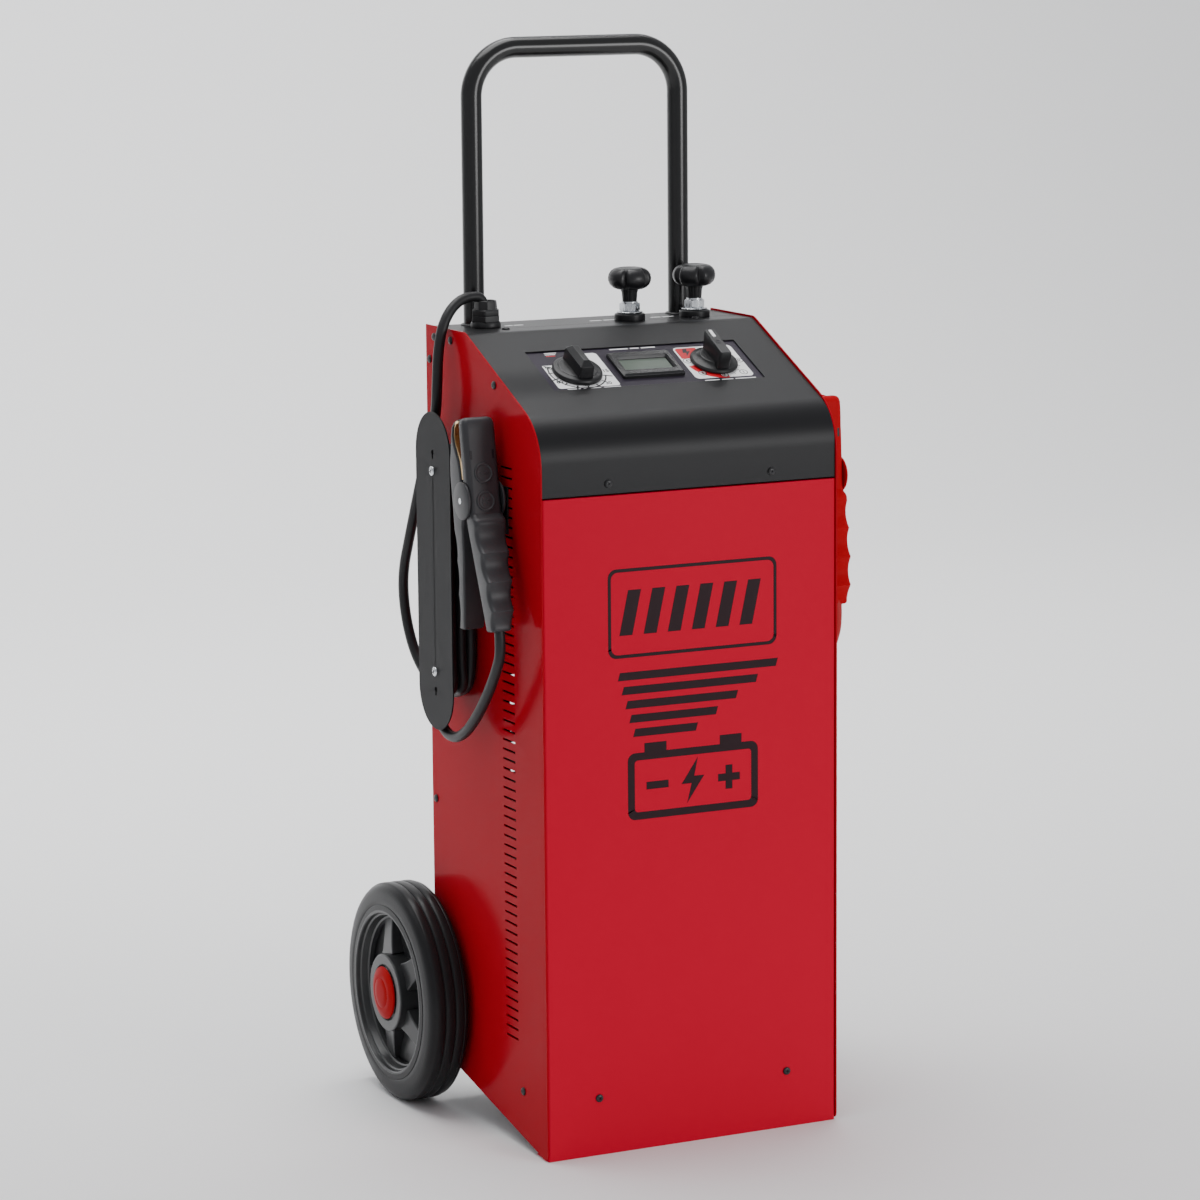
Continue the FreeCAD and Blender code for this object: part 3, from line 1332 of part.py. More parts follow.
def clamp_half(label, rear):
    """One insulated half of a clamp about its pivot: jaw above, grip below.

    Built in the clamp's own frame: X along the pivot, Z along the clamp, the half on the
    side of -Y, or of +Y for the rear half."""
    way = 1 if rear else -1
    half = dim("clamp_width") / 2
    body = new_body(label + "_shell")
    outline = REAR_SHELL if rear else FRONT_SHELL
    points = [(as_size(a * way), as_size(b)) for a, b in outline]
    shell = pad(body, polygon(new_sketch(body, "YZ_Plane", label + "_outline"), points),
                half * 2, side="Symmetric")
    for edge_sign in (1, -1):
        taper = polygon(new_sketch(body, "XZ_Plane", "%s_taper_%d" % (label, edge_sign + 1)), [
            (half * edge_sign, as_size(-18)), ((half + 3) * edge_sign, as_size(-130)),
            ((half - 6.5) * edge_sign, as_size(-130))])
        shell = pocket(body, taper, 120, side="Symmetric")
    body.Tip = shell
    return body


def clamp_parts(label, rear):
    """A clamp half with its pivot lugs, its copper jaw cut out of it."""
    half = dim("clamp_width") / 2
    pin = dim("clamp_pin_radius")
    way = 1 if rear else -1
    shell = clamp_half(label, rear)
    play = 0.3
    if rear:
        cheeks = []
        for name, low in (("near", half + play), ("far", -half - play - 3)):
            cheek = cylinder("%s_cheek_%s" % (label, name), "x", (low, 0, 0), as_size(18.5), 3)
            web_low = low - play - 1 if name == "near" else low + 2
            web = box("%s_web_%s" % (label, name), (web_low, web_low + play + 2),
                      (6, 13), (-8, 14))
            cheeks += [cheek, web]
        slot = box(label + "_slot", (-9.4, 9.4), (-1, 10), (-11, 11))
        solid = cut(label + "_halved", shell, [slot, jaw_room(label + "_jaw_room")])
        whole = fuse(label + "_whole", [solid] + cheeks)
        return cut(label + "_clamp_part", whole,
                   [cylinder(label + "_pin_hole", "x", (-30, 0, 0), pin + dim("shaft_play"), 60)])
    jaw_pocket = box(label + "_jaw_pocket", (-12, 12), (-6.3, 0), (20, 77.3))
    slot = box(label + "_slot", (-9.4, 9.4), (-10, 1), (-11, 11))
    hub = cylinder(label + "_hub", "x", (-9.2, 0, 0), as_size(7.2), 18.4)
    webs = [box("%s_web_%d" % (label, index), (low, low + 3), (-9, -1.5), (-4, 4))
            for index, low in enumerate((-11, 8))]
    opened = cut(label + "_pocketed", shell, [jaw_pocket, slot])
    whole = fuse(label + "_whole", [opened, hub] + webs)
    return cut(label + "_clamp_part", whole,
               [cylinder(label + "_pin_hole", "x", (-30, 0, 0), pin, 60)])


def clamp_jaw(label, rear):
    """Copper jaw of a clamp half: a toothed bar in front, a bent plate behind."""
    if rear:
        body = new_body(label + "_plate")
        outline = [(as_size(a), as_size(b)) for a, b in JAW_BACK + JAW_FACE]
        pad(body, polygon(new_sketch(body, "YZ_Plane", label + "_outline"), outline), 23.4,
            side="Symmetric")
        return body
    body = box(label + "_bar", (-11.7, 11.7), (-6.3, -0.1), (20.3, 77))
    tools = []
    for index in range(6):
        notch = cylinder("%s_notch_%d" % (label, index), "x", (-20, 0, 27 + index * 8),
                         as_size(2.4), 40)
        tools.append(notch)
    return cut(label + "_toothed", body, tools)


def clamp_spring(label):
    """Coil of the closing spring round the pivot's hub."""
    helix = Part.makeHelix(2.6, 13.0, 8.1)
    wire = Part.Wire([Part.makeCircle(1.0, Vector(8.1, 0, 0), Y_AXIS)])
    coil = Part.Wire(helix.Edges).makePipeShell([wire], True, True)
    item = doc.addObject("Part::Feature", label)
    item.Shape = coil
    centred_coil = FreeCAD.Placement(Vector(-6.5, 0, 0), FreeCAD.Rotation(Y_AXIS, 90))
    item.Placement = centred_coil
    return item


def put_clamp(item, label, side_x, y, tilt):
    """Move a clamp piece from the clamp's frame to its place on the cabinet's side."""
    doc.recompute()
    placed = doc.addObject("Part::Feature", label + "_placed")
    placed.Shape = item.Shape.copy()
    own = item.Shape.Placement
    move = FreeCAD.Placement(Vector(side_x.value, y.value, dim("clamp_height").value),
                             FreeCAD.Rotation(X_AXIS, -tilt.value))
    placed.Placement = move.multiply(own)
    return placed


def clamps():
    out = half_width + dim("clamp_stand") + dim("clamp_width") / 2
    pin = dim("clamp_pin_radius")
    half = dim("clamp_width") / 2
    jaws = []
    pins = []
    pegs = []
    for colour, sign, y_name, tilt_name in (
            ("black", -1, "black_clamp_y", "black_clamp_tilt"),
            ("red", 1, "red_clamp_y", "red_clamp_tilt")):
        side_x = out * sign
        y = from_front(dim(y_name))
        tilt = dim(tilt_name)
        for half_name, rear in (("front", False), ("rear", True)):
            label = "%s_clamp_%s_half" % (colour, half_name)
            shell = put_clamp(clamp_parts(label, rear), label, side_x, y, tilt)
            if not rear:
                points = from_cabinet(BLACK_TAIL if sign < 0 else RED_TAIL, sign)
                shell = cut(label + "_bored", shell, [lead_bore(label + "_bore", points)])
            keep(shell, label)
            jaw_label = "%s_clamp_%s_jaw" % (colour, half_name)
            jaw = put_clamp(clamp_jaw(jaw_label, rear), jaw_label, side_x, y, tilt)
            if rear:
                keep(jaw, jaw_label)
            else:
                jaws.append(jaw)
        pin_label = colour + "_clamp_pin"
        rod_start = -half - (3.8 if sign < 0 else 6.4)
        rod = cylinder(pin_label + "_rod", "x", (rod_start, 0, 0), pin, half * 2 + 10.2)
        pins.append(put_clamp(rod, pin_label, side_x, y, tilt))
        coil = clamp_spring(colour + "_clamp_spring")
        pins.append(put_clamp(coil, colour + "_clamp_coil", side_x, y, tilt))
        pegs.append(clamp_peg(colour + "_clamp_peg", sign, y))
    keep(group("clamp_front_jaws_group", jaws), "clamp_front_jaws")
    keep(group("clamp_pivots_group", pins), "clamp_pivots")
    keep(group("clamp_pegs_group", pegs), "clamp_pegs")


def clamp_peg(name, sign, y):
    """Bracket on the side panel whose fork holds the end of a clamp's pivot pin."""
    z = dim("clamp_height")
    reach = dim("clamp_stand") - 3.5
    low_x = half_width if sign > 0 else -half_width - 1.6
    pad_plate = box(name + "_plate", (low_x, low_x + 1.6), (y - 12, y + 12), (z - 34, z + 12))
    stem_x = half_width if sign > 0 else -half_width - reach
    stem = cylinder(name + "_stem", "x", (stem_x, y, z), dim("clamp_pin_radius") + 2.4, reach)
    hole_x = half_width + 1.6 if sign > 0 else -half_width - 12
    bore = cylinder(name + "_bore", "x", (hole_x, y, z), dim("clamp_pin_radius"), 10.4)
    return cut(name, fuse(name + "_solid", [pad_plate, stem]), [bore])


# ---------------------------------------------------------------- inside the cabinet
def standoff_points():
    """X and Z of the screws that hold the rectifier to the rear panel."""
    return [(as_size(x), as_size(z)) for x in (-80, 80) for z in (460, 540)]


def power_parts():
    shelf = dim("shelf_height")
    middle = front + dim("cabinet_depth") / 2
    core_low = shelf + 12.2
    rails = [box("transformer_rail_%d" % index, (x - 10, x + 10), (middle - 80, middle + 80),
                 (shelf, shelf + 12)) for index, x in enumerate((-70, 70))]
    keep(group("transformer_rails_group", rails), "transformer_rails")
    blank = box("core_blank", (-95, 95), (middle - 45, middle + 45), (core_low, core_low + 190))
    windows = [box("core_window_%d" % index, (low, low + 38), (middle - 50, middle + 50),
                   (core_low + 30, core_low + 160)) for index, low in enumerate((-68, 30))]
    keep(cut("transformer_core_part", blank, windows), "transformer_core")
    for label, low, high in (("primary_winding", 32, 94), ("secondary_winding", 97, 158)):
        coil = box(label + "_block", (-65, 65), (middle - 78, middle + 78),
                   (core_low + low, core_low + high))
        limb = box(label + "_limb", (-30.5, 30.5), (middle - 45.5, middle + 45.5),
                   (core_low, core_low + 200))
        keep(cut(label + "_part", coil, [limb]), label)
    face = back - setback - gauge
    plate = box("rectifier_plate", (-95, 95), (face - 26, face - 20), (450, 550))
    fins = [box("rectifier_fin_%d" % index, (x, x + 3), (face - 56, face - 26), (450, 550))
            for index, x in enumerate(range(-92, 93, 22))]
    feet = [cylinder("rectifier_foot_%d" % index, "y", (x, face - 20, z), as_size(6), 20)
            for index, (x, z) in enumerate(standoff_points())]
    drills = [cylinder("rectifier_drill_%d" % index, "y", (x, face - 12, z), HOLE, 20)
              for index, (x, z) in enumerate(standoff_points())]
    keep(cut("rectifier_heat_sink_part", fuse("rectifier_solid", [plate] + fins + feet), drills),
         "rectifier_heat_sink")
    diodes = [cylinder("diode_%d" % index, "y", (x, face - 20, z), as_size(9), 12)
              for index, (x, z) in enumerate(((-40, 500), (0, 500), (40, 500)))]
    keep(group("rectifier_diodes_group", diodes), "rectifier_diodes")


# ---------------------------------------------------------------- assembly
side_panel("left_side_panel", -1)
side_panel("right_side_panel", 1)
front_panel()
rear_panel()
base_shelf()
hood()
control_label()
meter()
controls()
handle()
terminals()
lead_gland()
mains_gland()
panel_screws()
axle()
wheel("left", -1)
wheel("right", 1)
wraps()
leads()
lead_lug()
clamps()
power_parts()

doc.recompute()
for item in doc.Objects:
    if "Invalid" in item.State or "Error" in item.State:
        raise RuntimeError("%s did not rebuild: %s" % (item.Name, item.State))
for item in nodes:
    if item.Shape.isNull() or not item.Shape.isValid():
        raise RuntimeError("%s has no valid shape" % item.Label)
    if not item.Shape.Solids:
        raise RuntimeError("%s has no solid" % item.Label)
for item in nodes:
    item.Shape.exportStep(os.path.join("parts", item.Label + ".step"))
print("%d nodes" % len(nodes))
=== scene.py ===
"""Looks of an upright trolley battery charger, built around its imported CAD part."""
import bmesh
import bpy
from math import atan, cos, pi, radians, sin, tan
from mathutils import Matrix, Vector


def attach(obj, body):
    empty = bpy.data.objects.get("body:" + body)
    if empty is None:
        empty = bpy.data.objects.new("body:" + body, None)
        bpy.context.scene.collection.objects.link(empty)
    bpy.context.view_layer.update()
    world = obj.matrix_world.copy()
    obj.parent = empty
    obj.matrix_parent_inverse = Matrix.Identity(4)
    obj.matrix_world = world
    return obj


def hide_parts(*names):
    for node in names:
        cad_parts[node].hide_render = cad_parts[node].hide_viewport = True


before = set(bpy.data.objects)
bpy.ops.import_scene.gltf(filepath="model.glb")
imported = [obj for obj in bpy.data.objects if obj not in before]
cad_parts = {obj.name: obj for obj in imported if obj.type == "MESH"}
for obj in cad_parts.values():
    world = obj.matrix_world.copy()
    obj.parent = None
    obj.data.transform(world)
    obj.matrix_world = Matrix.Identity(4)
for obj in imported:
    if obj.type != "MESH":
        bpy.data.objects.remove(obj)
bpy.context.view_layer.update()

MM = 0.001
FRONT = -16.0                     # plane of the side panels' front edges
DEPTH = 265.0                     # of a side panel
BACK = FRONT + DEPTH
HALF = 160.0
TOP = 793.0
HOOD_TOP = 791.0
SLOPE = radians(24.8)
SLOPE_FOOT = TOP - 172.0 * tan(SLOPE)
INSIDE = 158.4                    # inner faces of the side panels
LABEL = -1.5                      # the label's face below the hood's surface
LABEL_X = 3.0                     # middle of the label's window
LABEL_UP = 112.5                  # foot of the slope to the middle of the label's window
LABEL_HALF_WIDTH = 114.5
LABEL_HALF_HEIGHT = 36.5
TIMER = (-73.5, 107.5)            # knob axes: across, and up from the foot of the slope
SELECTOR = (77.5, 111.0)
TERMINAL_Y = BACK - 53
WHEEL = 111.5                     # radius of the tyre
WRAP_Y = 170.0                    # front edge to the middle of a cable wrap
WRAP_Z = 560.0                    # floor to the middle of a cable wrap
WRAP_REACH = 99.5                 # middle of a wrap to each post
CLAMP_Z = 641.0                   # floor to the clamps' pivots
LEAD = 5.25                       # radius of the output leads
LANES = (7.0, 17.5, 28.0)         # side panel to each turn of lead on a wrap


def add(name, data):
    """New object in the scene."""
    item = bpy.data.objects.new(name, data)
    bpy.context.scene.collection.objects.link(item)
    return item


# ---- places
def placed(origin, x, y, z):
    """Matrix with the given axes, for millimetres."""
    rows = [[x[i], y[i], z[i], origin[i]] for i in range(3)]
    return Matrix(rows + [[0, 0, 0, 1]])


def on_slope(up, rise):
    """Point of the cabinet's section, up the slope and over the hood's surface."""
    lift = rise - 2.0
    y = FRONT + up * cos(SLOPE) - lift * sin(SLOPE)
    z = SLOPE_FOOT + up * sin(SLOPE) + lift * cos(SLOPE)
    return y, z


SLOPE_Y, SLOPE_Z = on_slope(0, 0)
SLOPE_AT = placed((0, SLOPE_Y, SLOPE_Z), (1, 0, 0), (0, cos(SLOPE), sin(SLOPE)),
                  (0, -sin(SLOPE), cos(SLOPE)))


def shift(x, y, z):
    return Matrix.Translation((x, y, z))


def along_x(x, y, z, sign=1):
    """Local Z points outwards along X, local X stays along Y."""
    return placed((x, y, z), (0, sign, 0), (0, 0, 1), (sign, 0, 0))


def along_y(x, y, z, sign=1):
    """Local Z points along Y."""
    return placed((x, y, z), (-sign, 0, 0), (0, 0, 1), (0, sign, 0))


# ---- shapes as (points, faces)
def moved(shape, matrix):
    points, faces = shape
    return [matrix @ Vector(p) for p in points], faces


def joined(*shapes):
    points, faces = [], []
    for shape_points, shape_faces in shapes:
        base = len(points)
        points += list(shape_points)
        faces += [tuple(base + i for i in face) for face in shape_faces]
    return points, faces


def loft(rings, ends=(True, True)):
    """Skin through rings that have the same number of points."""
    count = len(rings[0])
    points = [p for ring in rings for p in ring]
    faces = []
    for row in range(len(rings) - 1):
        for i in range(count):
            j = (i + 1) % count
            a = row * count
            faces.append((a + i, a + j, a + count + j, a + count + i))
    if ends[0]:
        faces.append(tuple(range(count - 1, -1, -1)))
    if ends[1]:
        last = (len(rings) - 1) * count
        faces.append(tuple(last + i for i in range(count)))
    return points, faces


def ring(radius, z, count=48, start=0.0):
    return [(radius * cos(start + 2 * pi * i / count),
             radius * sin(start + 2 * pi * i / count), z) for i in range(count)]


def lathe(profile, count=48):
    """Turned shape about Z from (radius, height) points; a zero radius closes it."""
    points, faces, rows = [], [], []
    for radius, z in profile:
        if radius < 1e-6:
            rows.append([len(points)] * count)
            points.append((0, 0, z))
        else:
            rows.append(list(range(len(points), len(points) + count)))
            points += ring(radius, z, count)
    for low, high in zip(rows, rows[1:]):
        for i in range(count):
            j = (i + 1) % count
            face = [low[i], low[j], high[j], high[i]]
            face = [p for k, p in enumerate(face) if p != face[k - 1]]
            if len(face) > 2:
                faces.append(tuple(face))
    return points, faces


def rounded(corners, radii, steps=6):
    """Outline with each corner rounded."""
    if not hasattr(radii, "__len__"):
        radii = [radii] * len(corners)
    outline = []
    count = len(corners)
    for i in range(count):
        here = Vector(corners[i][:2]).to_3d()
        before = (Vector(corners[i - 1][:2]).to_3d() - here)
        after = (Vector(corners[(i + 1) % count][:2]).to_3d() - here)
        radius = radii[i]
        if radius < 1e-6:
            outline.append((here.x, here.y))
            continue
        inner = before.angle(after)
        trim = min(radius / tan(inner / 2), before.length * 0.49, after.length * 0.49)
        radius = trim * tan(inner / 2)
        before.normalize()
        after.normalize()
        middle = (before + after).normalized()
        centre = here + middle * (radius / sin(inner / 2))
        first = here + before * trim - centre
        last = here + after * trim - centre
        turn = first.angle(last)
        axis = first.cross(last).normalized()
        for k in range(steps + 1):
            spoke = Matrix.Rotation(turn * k / steps, 3, axis) @ first
            outline.append((centre.x + spoke.x, centre.y + spoke.y))
    return outline


def block(outline, low, high):
    """Straight extrusion of an outline along Z."""
    return loft([[(x, y, low) for x, y in outline], [(x, y, high) for x, y in outline]])


def rect(x0, x1, y0, y1):
    return [(x0, y0), (x1, y0), (x1, y1), (x0, y1)]


def cuboid(x, y, z):
    """Box between the pairs of limits."""
    return block(rect(x[0], x[1], y[0], y[1]), z[0], z[1])


def soft_rect(half_x, half_y, round_x, steps=5):
    return rounded(rect(-half_x, half_x, -half_y, half_y), round_x, steps)


def hex_nut(flats, height, start=0.0):
    """Hexagon with its corners turned down at both ends."""
    chamfer = flats * 0.045
    full = 60
    rings = []
    for z, shrink in ((0, 1), (chamfer, 0), (height - chamfer, 0), (height, 1)):
        row = []
        for i in range(full):
            angle = 2 * pi * i / full
            side = (angle + pi / 6) % (pi / 3) - pi / 6
            reach = flats / 2 / cos(side)
            if shrink:
                reach = min(reach, flats / 2 * 1.01)
            row.append((reach * cos(angle + start), reach * sin(angle + start), z))
        rings.append(row)
    return loft(rings)


# ---- materials
def node(tree, kind, sockets, **settings):
    """Shader node with its settings and its sockets' constants."""
    item = tree.nodes.new(kind)
    for name, value in settings.items():
        setattr(item, name, value)
    for name, value in sockets.items():
        item.inputs[name].default_value = value
    return item


def material(name, colour, rough, metal=0.0, mottle=0.06, grain=900.0, bump=0.05, spread=0.05,
             wave=0.0, stretch=None, specular=0.5, second=None):
    """Surface with mottled colour, uneven gloss and a fine raised texture.

    Grain is the texture's scale per metre; bump is its height in tenths of a millimetre, and
    wave is the height of a slow unevenness in millimetres."""
    item = bpy.data.materials.new(name)
    item.use_nodes = True
    tree = item.node_tree
    link = tree.links.new
    shader = tree.nodes["Principled BSDF"]
    for socket, value in (("Base Color", (*colour, 1)), ("Metallic", metal), ("Roughness", rough),
                          ("Specular IOR Level", specular)):
        shader.inputs[socket].default_value = value
    source = node(tree, "ShaderNodeTexCoord", {}).outputs["Object"]
    if stretch:
        mapping = node(tree, "ShaderNodeMapping", {"Scale": stretch})
        link(source, mapping.inputs["Vector"])
        source = mapping.outputs["Vector"]
    patches = node(tree, "ShaderNodeTexNoise", {"Scale": 14.0, "Detail": 5.0})
    link(source, patches.inputs["Vector"])
    dark = second or [c * (1 - mottle) for c in colour]
    light = [min(1.0, c * (1 + mottle)) for c in colour]
    tones = node(tree, "ShaderNodeMix", {}, data_type="RGBA")
    tones.inputs["A"].default_value = (*dark, 1)
    tones.inputs["B"].default_value = (*light, 1)
    link(patches.outputs["Fac"], tones.inputs["Factor"])
    link(tones.outputs["Result"], shader.inputs["Base Color"])
    fine = node(tree, "ShaderNodeTexNoise", {"Scale": grain, "Detail": 3.0})
    link(source, fine.inputs["Vector"])
    gloss = node(tree, "ShaderNodeMapRange",
                 {"To Min": max(0.02, rough - spread), "To Max": min(1.0, rough + spread)})
    link(patches.outputs["Fac"], gloss.inputs["Value"])
    link(gloss.outputs["Result"], shader.inputs["Roughness"])
    raised = node(tree, "ShaderNodeBump", {"Strength": 1.0, "Distance": bump * 0.0001})
    link(fine.outputs["Fac"], raised.inputs["Height"])
    last = raised
    if wave:
        slow = node(tree, "ShaderNodeTexNoise", {"Scale": 9.0, "Detail": 1.0})
        link(source, slow.inputs["Vector"])
        last = node(tree, "ShaderNodeBump", {"Distance": wave * 0.001})
        link(slow.outputs["Fac"], last.inputs["Height"])
        link(raised.outputs["Normal"], last.inputs["Normal"])
    link(last.outputs["Normal"], shader.inputs["Normal"])
    return item


RED = material(
    "red_paint", (0.545, 0.0018, 0.026), 0.38, mottle=0.015, grain=1400, bump=0.08, spread=0.03,
    wave=0.3, specular=0.06)
# The front's red paint again, with a darker base colour for the side panels: painted shade of the less
# lit sides. It is also glossier.
RED_SHADED_SIDE = material(
    "red_paint_shaded_side", (0.37, 0.005, 0.014), 0.16, mottle=0.03, grain=1400, bump=0.03, spread=0.02,
    wave=0.3, specular=0.02)
HOOD = material(
    "hood_powder_coat", (0.007, 0.007, 0.008), 0.40, mottle=0.04, grain=2600, bump=0.16,
    spread=0.02, specular=0.26)
STEEL_BLACK = material(
    "black_steel", (0.012, 0.012, 0.013), 0.42, grain=2200, bump=0.2, spread=0.03, specular=0.08)
HANDLE = material("handle_enamel", (0.005, 0.005, 0.005), 0.22, mottle=0.05, bump=0.12, spread=0.03)
INNER = material("inner_steel", (0.08, 0.08, 0.085), 0.5, mottle=0.08, bump=0.2)
ZINC = material(
    "zinc_plate", (0.66, 0.68, 0.70), 0.22, metal=1.0, mottle=0.10, grain=700, bump=0.2,
    spread=0.06)
SCREW_BLACK = material("black_oxide", (0.010, 0.010, 0.011), 0.34, mottle=0.1, bump=0.2)
PLASTIC = material(
    "black_plastic", (0.012, 0.012, 0.013), 0.42, grain=2600, bump=0.35, spread=0.04, specular=0.4)
PLASTIC_GLOSS = material(
    "knob_plastic", (0.009, 0.009, 0.010), 0.36, grain=1500, bump=0.12, spread=0.04, specular=0.4)
CLAMP_BLACK = material(
    "black_clamp_plastic", (0.030, 0.030, 0.033), 0.40, mottle=0.08, grain=2200, bump=0.5,
    specular=0.4)
CLAMP_RED = material(
    "red_clamp_plastic", (0.44, 0.004, 0.010), 0.40, mottle=0.04, grain=2200, bump=0.4,
    specular=0.03)
CAP_RED = material(
    "hub_cap_plastic", (0.34, 0.004, 0.007), 0.32, mottle=0.04, grain=1500, bump=0.2, spread=0.04,
    specular=0.02)
RIM = material(
    "wheel_plastic", (0.030, 0.031, 0.032), 0.30, mottle=0.08, grain=1800, bump=0.3, specular=0.45)
TYRE = material(
    "tyre_rubber", (0.014, 0.014, 0.015), 0.34, mottle=0.16, grain=520, bump=1.1, spread=0.10,
    specular=0.16)
RUBBER = material(
    "black_lead_rubber", (0.012, 0.012, 0.013), 0.42, mottle=0.08, grain=1500, bump=0.5,
    specular=0.35)
RUBBER_RED = material(
    "red_lead_rubber", (0.40, 0.008, 0.010), 0.44, grain=1500, bump=0.5, specular=0.3)
COPPER = material(
    "copper", (0.95, 0.66, 0.36), 0.30, metal=1.0, mottle=0.14, grain=600, bump=0.4, spread=0.08)
LABEL_BASE = material(
    "label_print", (0.030, 0.021, 0.040), 0.34, mottle=0.12, grain=1800, bump=0.06, spread=0.03,
    second=(0.014, 0.012, 0.017), specular=0.15)
PRINT_WHITE = material("white_print", (0.93, 0.93, 0.93), 0.4, mottle=0.02, grain=1800, bump=0.06)
PRINT_RED = material(
    "red_print", (0.60, 0.008, 0.020), 0.4, mottle=0.03, grain=1800, bump=0.06, specular=0.25)
PRINT_BLACK = material(
    "black_print", (0.008, 0.007, 0.010), 0.4, mottle=0.05, grain=1800, bump=0.06, specular=0.3)
DECAL = material(
    "front_print", (0.020, 0.007, 0.010), 0.36, mottle=0.05, grain=1800, bump=0.06, spread=0.03,
    specular=0.14)
BEZEL = material("bezel_plastic", (0.009, 0.009, 0.010), 0.26, mottle=0.05, grain=2200, bump=0.2)
DISPLAY = material(
    "display_glass", (0.150, 0.185, 0.150), 0.12, mottle=0.05, grain=400, bump=0.02, spread=0.02,
    second=(0.105, 0.125, 0.108))
BOARD = material("circuit_board", (0.02, 0.10, 0.04), 0.5, mottle=0.2, bump=0.3)
CORE = material(
    "laminated_core", (0.20, 0.20, 0.21), 0.55, metal=0.6, mottle=0.1, grain=300, bump=1.2,
    stretch=(1, 12, 1))
TAPE = material(
    "winding_tape", (0.50, 0.38, 0.12), 0.45, mottle=0.12, grain=400, bump=0.8, stretch=(1, 1, 6))
ALLOY = material(
    "heat_sink_alloy", (0.66, 0.66, 0.67), 0.38, metal=1.0, mottle=0.08, grain=700, bump=0.4,
    stretch=(1, 1, 0.1))


# ---- pieces
def round_edges(item, width, segments, angle):
    """Bevel on the edges sharper than an angle in degrees; width in millimetres."""
    edge_round = item.modifiers.new("Edges", "BEVEL")
    edge_round.width = width * MM
    edge_round.segments = segments
    edge_round.limit_method = "ANGLE"
    edge_round.angle_limit = radians(angle)
    edge_round.harden_normals = True


def piece(name, shape, finish, body="cabinet", sharp=32, bevel=0.0, segments=2, replaces=(),
          at=None):
    """A mesh piece from millimetre points."""
    if at is not None:
        shape = moved(shape, at)
    points, faces = shape
    mesh = bpy.data.meshes.new(name)
    mesh.from_pydata([Vector(p) * MM for p in points], [], faces)
    work = bmesh.new()
    work.from_mesh(mesh)
    bmesh.ops.remove_doubles(work, verts=work.verts, dist=1e-6)
    bmesh.ops.recalc_face_normals(work, faces=work.faces)
    for face in work.faces:
        face.smooth = True
    for edge in work.edges:
        if len(edge.link_faces) == 2:
            edge.smooth = edge.calc_face_angle(0.0) < radians(sharp)
    work.to_mesh(mesh)
    work.free()
    item = add(name, mesh)
    mesh.materials.append(finish)
    if bevel:
        round_edges(item, bevel, segments, sharp)
    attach(item, body)
    if replaces:
        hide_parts(*([replaces] if isinstance(replaces, str) else replaces))
    return item


def restyle(name, finish):
    """Give a CAD node its finish."""
    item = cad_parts[name]
    item.data.materials.clear()
    item.data.materials.append(finish)
    for polygon in item.data.polygons:
        polygon.material_index = 0


for cad_name, cad_finish in {
        "left_side_panel": RED_SHADED_SIDE, "right_side_panel": RED_SHADED_SIDE, "rear_panel": STEEL_BLACK,
        "base_shelf": INNER, "meter_module": BOARD, "handle_bolts": ZINC,
        "mains_gland": PLASTIC, "terminal_studs": ZINC, "wrap_plates": STEEL_BLACK,
        "wrap_posts": PLASTIC, "clamp_pegs": PLASTIC, "axle": ZINC, "axle_brackets": INNER,
        "transformer_core": CORE, "primary_winding": TAPE, "secondary_winding": TAPE,
        "transformer_rails": INNER, "rectifier_heat_sink": ALLOY, "rectifier_diodes": ZINC,
        "timer_body": PLASTIC, "selector_body": PLASTIC, "red_lead_lug": ZINC,
        "clamp_pivots": ZINC, "low_voltage_washer": ZINC, "high_voltage_washer": ZINC}.items():
    restyle(cad_name, cad_finish)

for sheet_name in ("left_side_panel", "right_side_panel", "wrap_plates"):
    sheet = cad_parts[sheet_name]
    weld = sheet.modifiers.new("Weld", "WELD")
    weld.merge_threshold = 0.00001
    round_edges(sheet, 0.35, 2, 50)


# ---- hood
def profile_path(drop):
    """Section of the bent hood from the apron's edge to the back, in (y, z)."""
    face = FRONT + 2 + drop
    lid = HOOD_TOP - drop
    y0, z0 = on_slope(0, -drop)
    corner = (face, z0 + (face - y0) * tan(SLOPE))
    bend = (y0 + (lid - z0) / tan(SLOPE), lid)
    ends = [(face, 650.0), corner, bend, (BACK - 1 - drop, lid)]
    path = rounded(ends, [0, 58 - drop, 18 - drop, 0], 20)
    slope_marks = [on_slope(LABEL_UP + way * LABEL_HALF_HEIGHT, -drop) for way in (-1, 1)]
    brow, crown = path[1:22], path[22:43]
    return path[:1] + brow + slope_marks + crown


SEAM = BACK - 62                  # gap between the hood's front sheet and its top plate


def skin(outer, inner, stations, hole=()):
    """Bent sheet between two section paths, with an optional window of (column, row) cells."""
    count = len(outer)
    points = [(x, y, z) for x in stations for path in (outer, inner) for y, z in path]

    def at(column, side, row):
        return column * 2 * count + side * count + row

    faces = []
    columns = len(stations) - 1
    solid = {(c, r) for c in range(columns) for r in range(count - 1)} - set(hole)
    for c, r in solid:
        faces.append((at(c, 0, r), at(c + 1, 0, r), at(c + 1, 0, r + 1), at(c, 0, r + 1)))
        faces.append((at(c, 1, r), at(c, 1, r + 1), at(c + 1, 1, r + 1), at(c + 1, 1, r)))
        for (dc, dr), edge in (((-1, 0), ((c, r), (c, r + 1))), ((1, 0), ((c + 1, r + 1), (c + 1, r))),
                               ((0, -1), ((c + 1, r), (c, r))), ((0, 1), ((c, r + 1), (c + 1, r + 1)))):
            if (c + dc, r + dr) not in solid:
                (c0, r0), (c1, r1) = edge
                faces.append((at(c0, 0, r0), at(c0, 1, r0), at(c1, 1, r1), at(c1, 0, r1)))
    return points, faces


